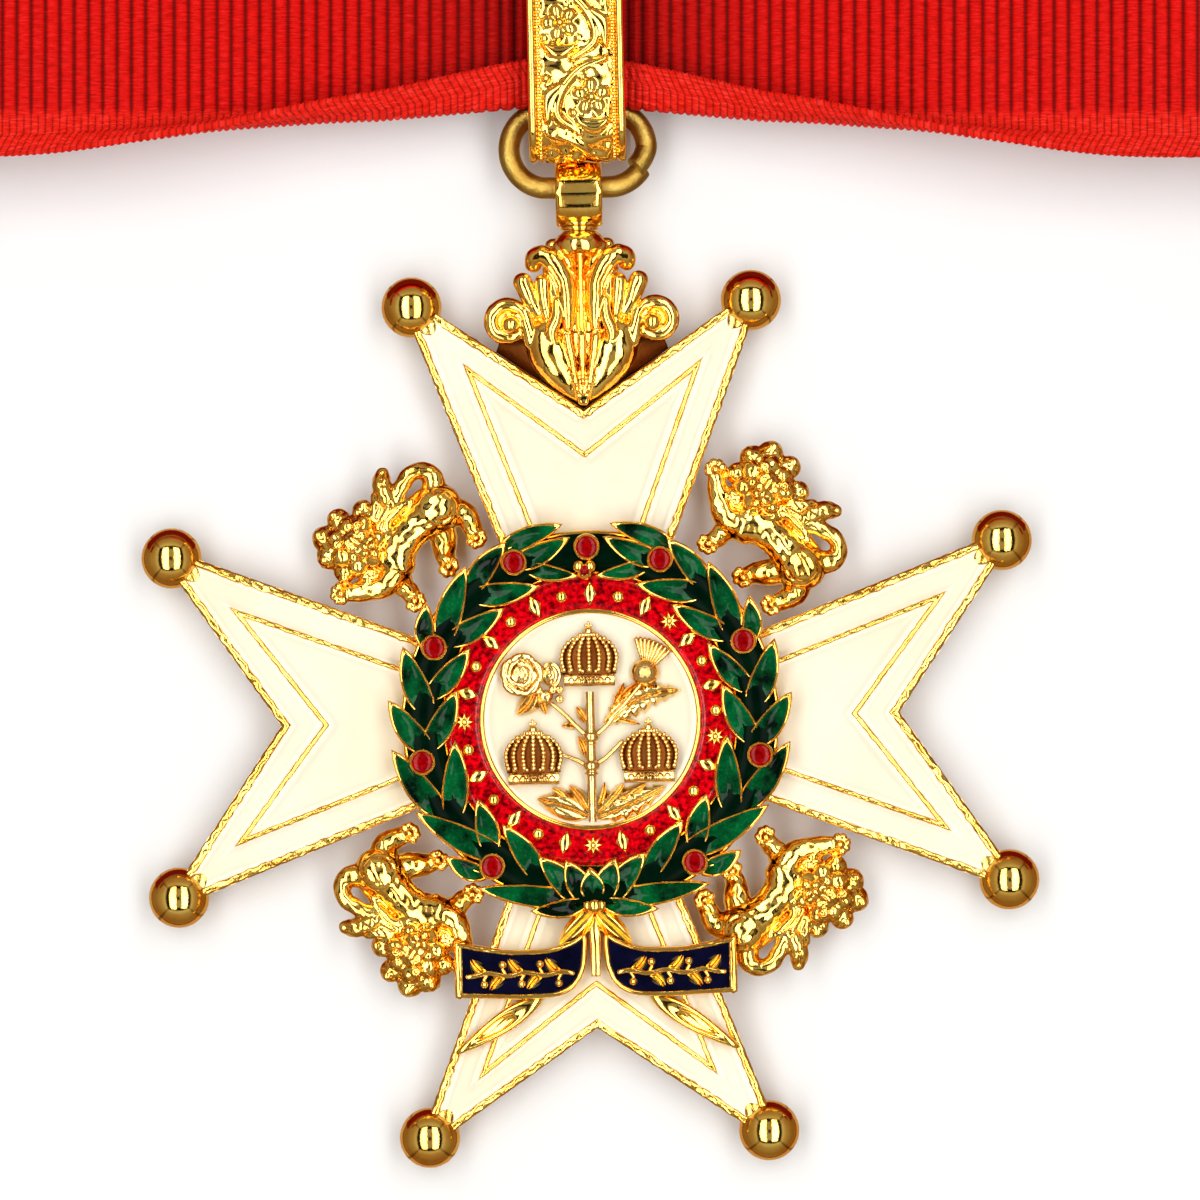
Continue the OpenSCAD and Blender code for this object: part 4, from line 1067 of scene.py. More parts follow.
def make_sceptre():
    """The sceptre with its knobs, shoots and the leaves at its foot."""
    shells = Shells()
    level = RELIEF + 0.47
    shells.spindle(curve_through(SCEPTRE_ROWS, 3), level, 16, 0.94)
    for points in SHOOTS:
        line = [[x, y, level - 0.16] for x, y in points]
        shells.rod(curve_through(line, 4), np.linspace(0.15, 0.12, 13), 8)
    for base, tip, width, teeth in SCEPTRE_LEAVES:
        shells.leaf(base, tip, 1.22 * width, RELIEF, RELIEF + 0.42, bend=0.1, teeth=teeth)
    finished("sceptre_gilt", shells, ["pale"], ["sceptre"], crease=60)


def make_rose():
    """The rose and the half-open flower beside it, with their leaves."""
    z = RELIEF
    cx, cy = -0.632 * DEVICE_R, 0.43 * DEVICE_R
    clay = Clay((-5.4, 0.05, z), (-1.25, 4.3, z + 1.0), 0.05)
    clay.ball((cx, cy, z + 0.05), 1.15, 0.1, stretch=(1, 1, 0.36))
    # Five outer petals, each an arc with a rolled lip, then an inner turn of petals
    for i in range(5):
        a = np.radians(90 + 72 * i + np.linspace(-36, 40, 6))
        r = 1.12 - 0.12 * np.linspace(0, 1, 6)
        clay.line(arc((cx, cy), r, a, z + 0.42), [0.12, 0.21, 0.25, 0.25, 0.21, 0.12], 0.03)
    for i in range(4):
        a = np.radians(50 + 90 * i + np.linspace(-42, 50, 6))
        r = 0.73 - 0.14 * np.linspace(0, 1, 6)
        petal = arc((cx - 0.1, cy + 0.05), r, a, z + 0.58)
        clay.line(petal, [0.08, 0.13, 0.15, 0.15, 0.13, 0.08], 0.03)
    heart = (cx - 0.12, cy + 0.08)
    clay.line(arc(heart, np.linspace(0.4, 0.05, 18), np.linspace(0, 3.6 * PI, 18), z + 0.68), 0.085, 0.02)
    # The half-open flower beside it
    fx, fy = cx + 1.72, cy - 0.05
    clay.ball((fx, fy, z + 0.1), 0.62, 0.08, stretch=(0.9, 1.1, 0.7))
    for r, tall in ((0.6, 0.3), (0.38, 0.42), (0.17, 0.5)):
        a = np.linspace(-PI * 0.5, PI * 0.75, 9)
        clay.line(arc((fx - 0.05, fy), r, a, z + tall, (0.85, 1.15)), 0.11, 0.03)
    # Small leaves and buds below both
    for bx, by, r in BUDS:
        clay.ball((bx, by, z + 0.2), r, 0.05, stretch=(1, 1, 0.9))
        a = np.linspace(0, 1.7 * PI, 9)
        clay.line(arc((bx, by), r, a, z + 0.22 + r * 0.7, (0.55, 0.55)), 0.07, 0.02)
    clay.roughen(0.3, 0.008, 5)
    clay.keep(z + 0.02 - clay.points()[..., 2])
    shells = Shells().add(*clay.skin())
    shells.leaf((-3.1, 1.75), (-4.25, 0.35), 1.2, z, z + 0.5, bend=-0.15)
    shells.leaf((-2.9, 1.6), (-2.55, 0.35), 0.95, z, z + 0.5)
    finished("rose_gilt", shells, ["pale"], ["rose"], crease=70)


def add_bulb(shells, bx, by):
    """The thistle's bulb with its crossed scales."""
    rows = [(0.84, RELIEF)]
    for t in np.linspace(0, 1, 9):
        rows.append((0.84 * math.cos(t * PI / 2 * 0.96), RELIEF + 0.1 + 0.78 * math.sin(t * PI / 2)))
    shells.turned_solid(rows, (bx, by), 32)
    a = np.linspace(-0.95, 0.95, 9)
    for s in (-1, 1):
        for k in (-1, 0, 1):
            x = bx + s * 0.6 * a * 0.9 + 0.3 * k
            y = by + 0.62 * a + 0.22 * k * s
            d = np.hypot(x - bx, y - by)
            keep = d < 0.78
            level = RELIEF + 0.1 + 0.78 * np.sqrt(1 - (d[keep] / 0.85) ** 2)
            if len(level) > 2:
                shells.rod(np.column_stack([x[keep], y[keep], level]), 0.07, 6)


def make_thistle():
    """The thistle: a scaled bulb, a fan of florets and toothed leaves."""
    z = RELIEF
    bx, by = 0.52 * DEVICE_R, 0.43 * DEVICE_R
    shells = Shells()
    add_bulb(shells, bx, by)
    for t in np.linspace(-1, 1, 9):
        foot = np.array([bx + 0.2 + 0.42 * t, by + 0.68 - 0.22 * t])
        end = foot + clock(17 + 30 * t, 1.12 - 0.06 * t * t)
        floret = at_level([foot, 0.5 * foot + 0.5 * end, end], [z + 0.34, z + 0.42, z + 0.36])
        shells.rod(floret, [0.09, 0.12, 0.14], 8, 1.4)
    # A thin fan behind the florets closes the gaps between them
    rings = []
    for t in np.linspace(-1, 1, 7):
        foot = np.array([bx + 0.2 + 0.5 * t, by + 0.6 - 0.22 * t])
        end = foot + clock(17 + 32 * t, 1.28 - 0.08 * t * t)
        rings.append(at_level([foot, foot, end, end], [z, z + 0.24, z + 0.24, z]))
    shells.grid(rings)
    for base, tip, width, tall, bend, teeth in THISTLE_LEAVES:
        shells.leaf(base, tip, width, z, z + tall, bend, teeth)
    shells.rod([[1.1, 0.0, z + 0.3], [1.9, 0.75, z + 0.45], [2.9, 1.9, z + 0.5]], 0.12, 8)
    finished("thistle_gilt", shells, ["pale"], ["thistle"], crease=60)


# Lions

LION_ANGLES = {"upper_left": 45, "upper_right": -45, "lower_left": 135, "lower_right": -135}
FACE = np.array([-2.0, 16.75])
# The lion's lowest level, the arm's side as the lion sees it, and the wreath's reach
LION_LOW = 0.42
SIDE_FROM = 2.546
SIDE_SLOPE = 0.446
FOOT_R = 11.02
LEAVES_R = 11.82
# Rings of locks round the face: how many, reach, size and level
MANE_ROWS = [(9, 1.84, 0.74, 2.05), (7, 1.22, 0.56, 2.8)]
# Places and radii of the raised arm, the standing arm and the two hind legs
LION_LIMBS = [
    ([(-1.4, 14.1, 2.3), (-2.6, 13.95, 2.3), (-3.7, 14.6, 2.2), (-4.6, 15.3, 2.1)], [0.8, 0.72, 0.6, 0.46]),
    (
        [(-1.6, 14.1, 2.0), (-1.9, 13.3, 1.95), (-1.95, 12.6, 1.85), (-2.05, 12.1, 1.8)],
        [0.8, 0.66, 0.54, 0.46],
    ),
    ([(3.0, 14.2, 2.1), (3.5, 13.5, 2.0), (3.35, 12.8, 1.9), (3.1, 12.2, 1.8)], [0.9, 0.72, 0.58, 0.46]),
    ([(2.1, 14.1, 1.8), (1.6, 13.3, 1.7), (1.1, 12.75, 1.6), (0.85, 12.2, 1.5)], [0.85, 0.76, 0.62, 0.46]),
]
# Place of each paw and its way in degrees
LION_PAWS = (
    (-4.75, 15.45, 2.2, 150), (-2.1, 12.05, 1.95, 265), (3.0, 12.05, 1.95, 262), (0.7, 12.05, 1.7, 255),
)
# Places and radii of the lobes of the tail's tuft and brush
LION_TUFTS = (
    ([(0.95, 16.8, 2.5), (1.1, 17.5, 2.55), (1.45, 18.1, 2.5), (1.9, 18.5, 2.3)], [0.5, 0.58, 0.56, 0.42]),
    ([(-0.4, 16.4, 2.4), (0.4, 16.6, 2.5), (1.1, 16.5, 2.5), (1.9, 16.2, 2.3)], [0.45, 0.5, 0.42, 0.24]),
    ([(-0.2, 17.1, 2.5), (0.35, 17.4, 2.5), (0.75, 17.9, 2.4)], [0.36, 0.4, 0.3]),
)


def add_mane(clay):
    """Two rings of round locks; those of the outer ring have smaller curls on them."""
    clay.ball((*FACE, 1.5), 1.7, 0.15, stretch=(1, 1.05, 0.75))
    rng = np.random.default_rng(11)
    for ring, (count, reach, r, z) in enumerate(MANE_ROWS):
        for i in range(count):
            a = 2 * PI * (i + 0.5 * ring) / count + rng.uniform(-0.12, 0.12)
            size = r * rng.uniform(0.85, 1.15)
            at = FACE + reach * rng.uniform(0.94, 1.05) * np.array([math.cos(a), math.sin(a)])
            clay.ball((*at, z), size, 0.03)
            for k in range(3 - 3 * ring):
                b = a + 2.1 * k + rng.uniform(-0.4, 0.4)
                near = at + 0.5 * size * np.array([math.cos(b), math.sin(b)])
                clay.ball((*near, z + 0.62 * size), 0.46 * size, 0.01)


def add_head(clay):
    x0, y0 = FACE
    clay.ball((x0 + 0.05, y0, 3.1), 0.9, 0.1, stretch=(0.95, 1.05, 0.8))
    clay.ball((x0, y0 + 0.55, 3.45), 0.5, 0.1, stretch=(1.15, 0.7, 0.7))
    clay.line(
        [(x0, y0 + 0.4, 3.8), (x0 + 0.1, y0 - 0.1, 3.86), (x0 + 0.2, y0 - 0.5, 3.98)], [0.2, 0.15, 0.22],
        0.06,
    )
    for side in (-1, 1):
        ex, ey = x0 + 0.08 + side * 0.42, y0 + 0.16
        clay.ball((ex, ey, 3.62), 0.3, 0.05)
        clay.ball((ex, ey, 3.9), 0.19, 0.03, cut=True)
        clay.ball((ex, ey, 3.74), 0.12, 0.02)
        clay.line(
            [(ex - 0.3, ey + 0.14, 3.6), (ex, ey + 0.33, 3.8), (ex + 0.3, ey + 0.14, 3.65)],
            [0.08, 0.13, 0.08], 0.03,
        )
        clay.ball((x0 + 0.24 + side * 0.27, y0 - 0.72, 3.62), 0.34, 0.04, stretch=(1, 0.85, 0.9))
        clay.ball((x0 + side * 0.72, y0 - 0.42, 3.2), 0.36, 0.06)
        clay.ball((x0 + side * 0.82, y0 + 0.78, 3.35), 0.3, 0.04)
        clay.ball((x0 + side * 0.82, y0 + 0.74, 3.62), 0.16, 0.03, cut=True)
    clay.ball((x0 + 0.22, y0 - 0.5, 4.02), 0.2, 0.03, stretch=(1.2, 0.75, 0.6))
    clay.ball((x0 + 0.3, y0 - 1.12, 3.35), 0.3, 0.05)
    clay.line(
        [(x0 - 0.25, y0 - 0.93, 3.72), (x0 + 0.26, y0 - 0.98, 3.86), (x0 + 0.78, y0 - 0.93, 3.7)], 0.08,
        0.03, cut=True,
    )
    clay.line([(x0 + 0.24, y0 - 0.95, 3.9), (x0 + 0.23, y0 - 0.62, 4.05)], 0.05, 0.03, cut=True)


def lion_clay(step):
    """One lion over the surface, with its side and outward places in millimetres."""
    clay = Clay((-6.2, 11.2, 0.3), (5.1, 20.0, 4.6), step)
    # Body, haunch and chest
    clay.line(
        [(-1.1, 14.75, 2.1), (0.3, 15.0, 2.15), (1.6, 14.95, 2.15), (2.7, 14.85, 2.2)],
        [1.15, 1.02, 1.05, 1.3], 0.12,
    )
    clay.ball((2.75, 14.85, 2.25), 1.25, 0.5, stretch=(1.05, 1, 0.95))
    clay.ball((-1.2, 14.3, 2.2), 1.05, 0.12)
    # The legs, and the paws with their toes
    for points, radii in LION_LIMBS:
        clay.line(points, radii, 0.08)
    for x, y, z, way in LION_PAWS:
        clay.ball((x, y, z), 0.55, 0.05)
        for k in range(-2, 3):
            a = math.radians(way + 46 * k)
            clay.ball((x + 0.43 * math.cos(a), y + 0.43 * math.sin(a), z + 0.24), 0.25, 0.01)
        clay.ball((x, y, z + 0.45), 0.24, 0.01)
    # The tail loops over the back, with a tuft of long lobes and a brush towards the mane
    clay.line(
        [
            (3.1, 15.6, 2.2), (3.75, 16.2, 2.25), (3.7, 16.95, 2.3), (3.0, 17.35, 2.4), (2.1, 17.2, 2.45),
            (1.3, 16.9, 2.5),
        ],
        [0.75, 0.62, 0.5, 0.46, 0.46, 0.46], 0.06,
    )
    clay.line([(1.2, 16.3, 2.2), (1.9, 16.1, 2.2), (2.6, 15.9, 2.2)], [0.45, 0.4, 0.5], 0.06)
    for points, radii in LION_TUFTS:
        clay.line(points, radii, 0.04)
        clay.line(np.array(points) + [0.02, 0.05, 0.44], 0.07, 0.05, cut=True)
    add_mane(clay)
    add_head(clay)
    # Two long folds on the flank and one round the haunch
    for x, y in ((-0.3, 15.35), (0.2, 14.45)):
        clay.line(
            [(x, y, 3.2), (x + 0.8, y + 0.12, 3.28), (x + 1.7, y + 0.05, 3.28)], [0.04, 0.1, 0.04], 0.1,
            cut=True,
        )
    a = np.linspace(-0.7 * PI, 0.3 * PI, 9)
    clay.line(arc((2.8, 14.85), 0.95, a, 3.32), 0.1, 0.08, cut=True)
    clay.roughen(0.5, 0.032, 8)
    return clay


def make_lions(sizes):
    """Four cast lions between the arms, each clear of the cross, the wreath and the scroll."""
    whole = lion_clay(sizes.lion_grain / MM)
    p = whole.points()
    reach = np.hypot(p[..., 0], p[..., 1])
    whole.keep(LION_LOW - p[..., 2] + 0.02)
    # The arms' sides, the wreath's foot and the leaves above it
    whole.keep((abs(p[..., 0]) - (p[..., 1] - SIDE_FROM) * SIDE_SLOPE + 0.09) * 0.913)
    whole.keep(np.maximum(FOOT_R - reach, np.minimum(LEAVES_R - reach, p[..., 2] - 3.5)))
    for name, angle in LION_ANGLES.items():
        block = Clay(whole.low, whole.low + whole.step * (np.array(whole.field.shape) - 1), whole.step)
        block.field = whole.field.copy()
        if name.startswith("lower"):
            flat = turned(p[:, :, 0, :2], angle)
            inside = np.maximum(outline_depth(RIGHT_SCROLL, flat), outline_depth(LEFT_SCROLL, flat)) + 0.06
            over = p[..., 2] - SCROLL_LEVEL + 0.08
            block.keep(np.minimum(inside[:, :, None], over))
        verts, faces = block.skin()
        finished(f"lion_{name}_gilt", Shells().add(turned(verts, angle), faces), ["cast"], [f"lion_{name}"])


# Scroll

SCROLL_IN = 0.45
SCROLL_L = 7.7
SCROLL_H = 3.5
SCROLL_OUT = 16.1
SCROLL_EDGE = 0.34
SCROLL_POINTS = np.array(
    [
        [0, 0.9], [0.02, 0.5], [0.09, 0.2], [0.22, 0.04], [0.44, 0], [0.74, 0.02], [1, 0.05], [1, 0.98],
        [0.81, 0.9], [0.6, 0.83], [0.3, 0.84], [0.1, 0.99], [0.01, 1.19],
    ]
)
SCROLL_ROWS = np.concatenate([curve_through(SCROLL_POINTS[:7], 4), curve_through(SCROLL_POINTS[7:], 4)])
RIGHT_SCROLL = SCROLL_ROWS * [SCROLL_L, SCROLL_H] + [SCROLL_IN, -SCROLL_OUT]
LEFT_SCROLL = mirrored(RIGHT_SCROLL)
# Place along a half of each leaf of its spray, and the leaf's side
SPRAY_ROWS = [(0.2, 1), (0.34, -1), (0.48, 1), (0.62, -1), (0.76, 1)]


def outline_depth(outline, points):
    """How deep points lie inside a closed outline. It is below zero outside."""
    near = np.full(points.shape[:-1], 1e9)
    inside = np.zeros(points.shape[:-1], bool)
    x = points[..., 0]
    y = points[..., 1]
    for a, b in zip(outline, np.roll(outline, -1, 0)):
        way = b - a
        t = np.clip(((points - a) @ way) / (way @ way), 0, 1)
        near = np.minimum(near, np.linalg.norm(points - a - t[..., None] * way, axis=-1))
        if a[1] != b[1]:
            inside ^= ((a[1] > y) != (b[1] > y)) & (x < a[0] + (y - a[1]) * way[0] / way[1])
    return np.where(inside, near, -near)


def add_spray(shells, s):
    """The running spray of a scroll's half: a waving stem with leaves and buds."""
    y = -SCROLL_OUT + 0.42 * SCROLL_H
    x = np.linspace(SCROLL_IN + 0.12 * SCROLL_L, SCROLL_IN + 0.9 * SCROLL_L, 25)
    wave = y + 0.1 * np.sin((x - x[0]) * 2 * PI / (0.28 * SCROLL_L))
    shells.rod(np.column_stack([s * x, wave, np.full(25, SCROLL_TOP - 0.08)]), 0.16, 8)
    for at, side in SPRAY_ROWS:
        base = np.array([s * (SCROLL_IN + at * SCROLL_L), y])
        tip = base + [s * 0.12 * SCROLL_L, side * 0.27 * SCROLL_H]
        shells.leaf(base, tip, 0.95, SCROLL_FLOOR, SCROLL_TOP + 0.07, bend=s * side * 0.12)
        bud = base + [s * 0.02 * SCROLL_L, -side * 0.16 * SCROLL_H]
        middle = 0.5 * base + 0.5 * bud + [s * 0.1, 0]
        stalk = at_level([base, middle, bud], [SCROLL_TOP - 0.12, SCROLL_TOP - 0.12, SCROLL_TOP - 0.1])
        shells.rod(stalk, 0.11, 8)
        shells.ball((*bud, SCROLL_TOP - 0.08), 0.24, 12)


def add_stem(shells, s):
    """The pointed stem below a scroll's half, with a rim round a sunk bed."""
    base = np.array([s * 0.4 * SCROLL_L, -SCROLL_OUT + 0.15])
    tip = np.array([s * 1.06 * SCROLL_L, -SCROLL_OUT - 0.88 * SCROLL_H])
    way = unit(tip - base)
    across = np.array([way[1], -way[0]])
    t = np.linspace(0, 1, 15)
    half = (0.12 + 0.52 * np.sin(PI * t**0.75) ** 0.9)[:, None]
    mid = base + way * np.linalg.norm(tip - base) * t[:, None]
    lens = np.concatenate([mid + across * half, (mid - across * half)[::-1]])
    if s < 0:
        lens = lens[::-1]
    low = SCROLL_LEVEL
    rows = [(0.0, low), (0.0, low + 0.2), (0.02, low + 0.34)]
    rows += [(0.4 * t, low + 0.36 + 0.16 * math.sin(PI * t)) for t in (0.1, 0.3, 0.5, 0.7, 0.9)]
    rows += [(0.4, low + 0.34), (0.41, low + 0.26), (0.62, low + 0.18)]
    middle = lens.mean(0) + way * 0.3
    rings = []
    for by, level in rows:
        share = 0.62 * by / 0.4
        rings.append(at_level(lens * (1 - share) + middle * share, level))
    shells.grid(rings)


def make_scroll():
    """The scroll's two halves with their frames, dark enamel and running spray."""
    for name, s, outline in (("left", -1, LEFT_SCROLL), ("right", 1, RIGHT_SCROLL)):
        shells = Shells()
        rows = [
            (0.03, SCROLL_LEVEL), (0.0, SCROLL_LEVEL + 0.05), (0.0, SCROLL_FLOOR),
            (0.15, SCROLL_FLOOR + 0.02),
        ]
        shells.plateau(outline, rows, 1)
        rim = half_round(0.0, SCROLL_EDGE, SCROLL_FLOOR - 0.1, SCROLL_FLOOR + 0.1, 0.36, 8, 0.6)
        shells.loop_bead(outline, rim, 0.25, 0.02, 31)
        add_spray(shells, s)
        # The end that rolls back
        x = s * (SCROLL_IN + SCROLL_L - 0.25)
        low = -SCROLL_OUT + 0.1 * SCROLL_H
        line = [[x, low + t * 0.82 * SCROLL_H, SCROLL_FLOOR + 0.08] for t in np.linspace(0, 1, 7)]
        shells.rod(line, 0.27, 14)
        add_stem(shells, s)
        finished(f"scroll_{name}_gilt", shells, ["gold", "cast"], [f"scroll_{name}"], crease=60)
        inner = inset(outline, SCROLL_EDGE - 0.05)
        inner = inner[outline_depth(outline, inner) > SCROLL_EDGE - 0.08]
        rows = [(0.0, SCROLL_FLOOR - 0.1), (0.0, SCROLL_TOP - 0.12), (0.05, SCROLL_TOP - 0.17)]
        dark = Shells().plateau(inner, rows)
        finished(f"scroll_{name}_enamel", dark, ["navy"], [f"scroll_enamel_{name}"], 30)


def make_tie():
    """The strip that ties the scroll's halves, and the leaves at its top."""
    foot = -SCROLL_OUT + 0.36 * SCROLL_H
    top = -10.98
    strip = [[-0.27, foot], [0.27, foot], [0.3, -13.0], [0.42, top], [-0.42, top], [-0.3, -13.0]]
    rows = [
        (0.02, SCROLL_LEVEL), (0.0, SCROLL_LEVEL + 0.05), (0.0, SCROLL_TOP - 0.05),
        (0.08, SCROLL_TOP + 0.02),
    ]
    tie = Shells().plateau(strip, rows)
    for s in (-1, 1):
        for base, tip, width in (((0.0, -10.95), (2.15, -13.0), 1.15), ((0.1, -11.2), (0.75, -12.6), 0.5)):
            tie.leaf(
                (s * base[0], base[1]), (s * tip[0], tip[1]), width, SCROLL_TOP + 0.01, SCROLL_TOP + 0.4,
            )
    finished("scroll_tie_gilt", tie, ["gold"], ["scroll_tie"], crease=60)


# Mount, ring and bail

MOUNT_Z = 2.45
NOTCH_SLOPE = 0.685
# Places across, along and up, and radii, of the leaves on one side of the mount
MOUNT_LOBES = [
    # The leaf that rolls outwards beside the channel
    (
        [(0.8, 22.6, 0.75), (0.85, 24.2, 0.9), (0.98, 25.4, 0.95), (1.6, 26.5, 0.95), (2.2, 26.9, 0.8)],
        [0.3, 0.48, 0.56, 0.6, 0.56],
    ),
    ([(2.2, 26.9, 0.8), (2.6, 26.75, 0.6), (2.7, 26.4, 0.4)], [0.56, 0.56, 0.5]),
    ([(0.7, 26.3, 0.3), (1.0, 27.0, 0.5), (1.3, 27.4, 0.4)], [0.4, 0.42, 0.3]),
    # Two fingers and a broader one behind them
    ([(2.55, 23.6, 0.4), (3.0, 24.5, 0.6), (3.35, 25.35, 0.6)], [0.38, 0.5, 0.56]),
    ([(1.95, 23.4, 0.5), (2.15, 24.4, 0.7), (2.2, 25.3, 0.75)], [0.34, 0.42, 0.48]),
    ([(1.7, 23.8, 0.2), (1.6, 25.0, 0.4), (1.7, 26.0, 0.4)], [0.5, 0.55, 0.5]),
    # A hanging leaf
    (
        [(1.4, 24.2, 0.95), (1.42, 23.3, 1.05), (1.75, 22.4, 1.05), (1.6, 21.7, 1.0)],
        [0.26, 0.34, 0.34, 0.22],
    ),
    # The stalk of the volute
    ([(2.9, 21.9, 0.3), (3.1, 22.8, 0.4), (3.35, 23.6, 0.45)], [0.5, 0.45, 0.42]),
]
# Places, radius and softness of the creases cut into one side
MOUNT_CREASES = [
    ([(0.42, 22.25, 1.3), (0.27, 20.6, 1.1), (0.1, 18.9, 0.6)], 0.13, 0.03),
    ([(1.22, 22.1, 1.3), (0.78, 20.6, 1.05), (0.3, 19.1, 0.6)], 0.1, 0.03),
    ([(0.0, 22.35, 1.3), (0.5, 22.35, 1.3), (1.0, 22.35, 1.25)], 0.13, 0.03),
    ([(1.3, 24.9, 1.1), (1.75, 25.9, 1.1), (2.2, 26.3, 0.9)], 0.1, 0.03),
    ([(1.15, 24.4, 1.35), (1.25, 25.3, 1.45), (1.75, 26.2, 1.45)], 0.08, 0.04),
]
BOW_LOW = 28.496
BOW_HIGH = 32.3
BOW_DEPTH = 3.8
BOW_WALL = 0.75
JUMP_W = 7.95
JUMP_H = 4.5
JUMP_WIRE = 1.25
JUMP_Y = 33.025
JUMP_GAP_AT = math.radians(-35.0)
BAIL_LOW = 32.3
BAIL_HIGH = 66.3
BAIL_DEPTH = 5.2
BAIL_MID = 3.75
BAIL_W = 5.6
BAIL_WALL = 0.6
# Below this place the bail is in the photograph, and its mesh is finer
BAIL_SEEN = 47.0


def on_side(points, s):
    """Places across, along and up from the mount's level, on one side of it."""
    return [(s * x, y, MOUNT_Z + up) for x, y, up in points]


def add_cup(clay):
    """The smooth cup at the mount's foot, the sunk channel above it and the hood on top."""
    z = MOUNT_Z
    for s in (-1, 1):
        cup = [(0.25, 18.7, 0), (1.15, 20.1, 0), (1.8, 21.3, 0), (1.95, 22.2, 0)]
        clay.line(on_side(cup, s), [0.35, 1.0, 1.3, 1.15], 0.2, tall=0.9)
        shoulder = [(1.7, 22.2, -0.2), (2.2, 23.4, -0.2), (2.4, 24.2, -0.2)]
        clay.line(on_side(shoulder, s), [1.0, 0.9, 0.6], 0.1, tall=0.6)
    for k in (-1, 0, 1):
        rib = [(0.12 * k, 18.35, z + 0.3), (0.5 * k, 20.0, z + 0.85), (0.85 * k, 22.3, z + 1.15)]
        clay.line(rib, [0.18, 0.24, 0.27], 0.05)
    back = [(0, 22.0, z - 0.2), (0, 24.2, z - 0.2), (0, 26.0, z - 0.2), (0, 27.2, z)]
    clay.line(back, [1.7, 1.4, 1.3, 1.2], 0.1, tall=0.55)
    clay.ball((0, 27.4, MOUNT_MID), 1.5, 0.05, stretch=(1, 0.75, 1))
    clay.rod((-1.6, 27.5, 1.4), (1.6, 27.5, 1.4), 0.42, 0.42, 0.1)
    clay.ball((0, 26.1, z + 1.3), 1.0, 0.1, cut=True)
    for x, low, high, up in ((0, 22.4, 27.0, 0.78), (-0.4, 22.5, 25.6, 0.66), (0.4, 22.5, 25.6, 0.66)):
        clay.rod((x, low, z + up), (x, high, z + up - 0.1), 0.17, 0.14, 0.02)


def add_foliage(clay, s):
    """The leaves and the volute on one side of the mount."""
    z = MOUNT_Z
    for points, radii in MOUNT_LOBES:
        clay.line(on_side(points, s), radii, 0.035)
    # The volute rolls over its own ball
    a = np.linspace(0.95 * PI, -0.75 * PI, 15)
    volute = arc((s * 4.3, 23.1), np.linspace(1.0, 0.86, 15), a, z + np.linspace(0.45, 0.1, 15), (s, 1))
    clay.line(volute, np.linspace(0.42, 0.46, 15), 0.03, steps=2)
    clay.ball((s * 4.3, 23.1, z - 0.25), 1.2, 0.06, stretch=(1, 1, 0.6))
    clay.ball((s * 4.1, 22.9, z + 0.5), 0.56, 0.02)
    a = np.linspace(0.9 * PI, -0.2 * PI, 11)
    crease = arc((s * 4.15, 22.98), 0.66, a, z + 0.85, (s, 1))
    clay.line(crease, 0.17, 0.03, cut=True, steps=2)
    for points, r, soft in MOUNT_CREASES:
        clay.line(on_side(points, s), r, soft, cut=True)


def make_mount():
    """The leafy casting above the top arm, clear of the arm that it meets."""
    clay = Clay((-6.2, 17.9, 0.75), (6.2, 28.4, 4.35), 0.075)
    add_cup(clay)
    for s in (-1, 1):
        add_foliage(clay, s)
    clay.roughen(0.5, 0.015, 21)
    p = clay.points()
    clay.keep(0.95 - p[..., 2])
    clay.keep(p[..., 1] - 28.28)
    into = (NOTCH_OUT + NOTCH_SLOPE * abs(p[..., 0]) - p[..., 1]) * 0.825 + 0.06
    clay.keep(np.minimum(into, CROSS_TOP + 0.09 - p[..., 2]))
    shells = Shells().add(*clay.skin())
    # The dark web behind the cup, a sheet painted as shade in the gaps beside the cup
    web = [[0, 17.98], [5.0, 21.4], [4.6, 22.5], [-4.6, 22.5], [-5.0, 21.4]]
    shells.plateau(web, [(0.05, 1.0), (0.0, 1.1), (0.0, 1.5), (0.08, 1.6)], 1)
    finished("leafy_mount_gilt", shells, ["gold", "shadow"], ["leafy_mount"])


def stadium_path(low, high, depth, stops, arc_steps):
    """Points and outward ways round a stadium: down the front, round the low end, up the back
    and round the high end. Stops are the front's places along Y."""
    r = depth / 2
    points = [(y, r, 0.0, 1.0) for y in stops]
    a = np.linspace(0, PI, arc_steps + 1)[1:]
    points += [(low + r - r * math.sin(t), r * math.cos(t), -math.sin(t), math.cos(t)) for t in a]
    points += [(y, -r, 0.0, -1.0) for y in np.arange(low + r + 2.5, high - r - 1.0, 2.5)]
    a = np.linspace(0, PI, 13)
    points += [(high - r + r * math.sin(t), -r * math.cos(t), math.sin(t), -math.cos(t)) for t in a]
    return np.array(points)


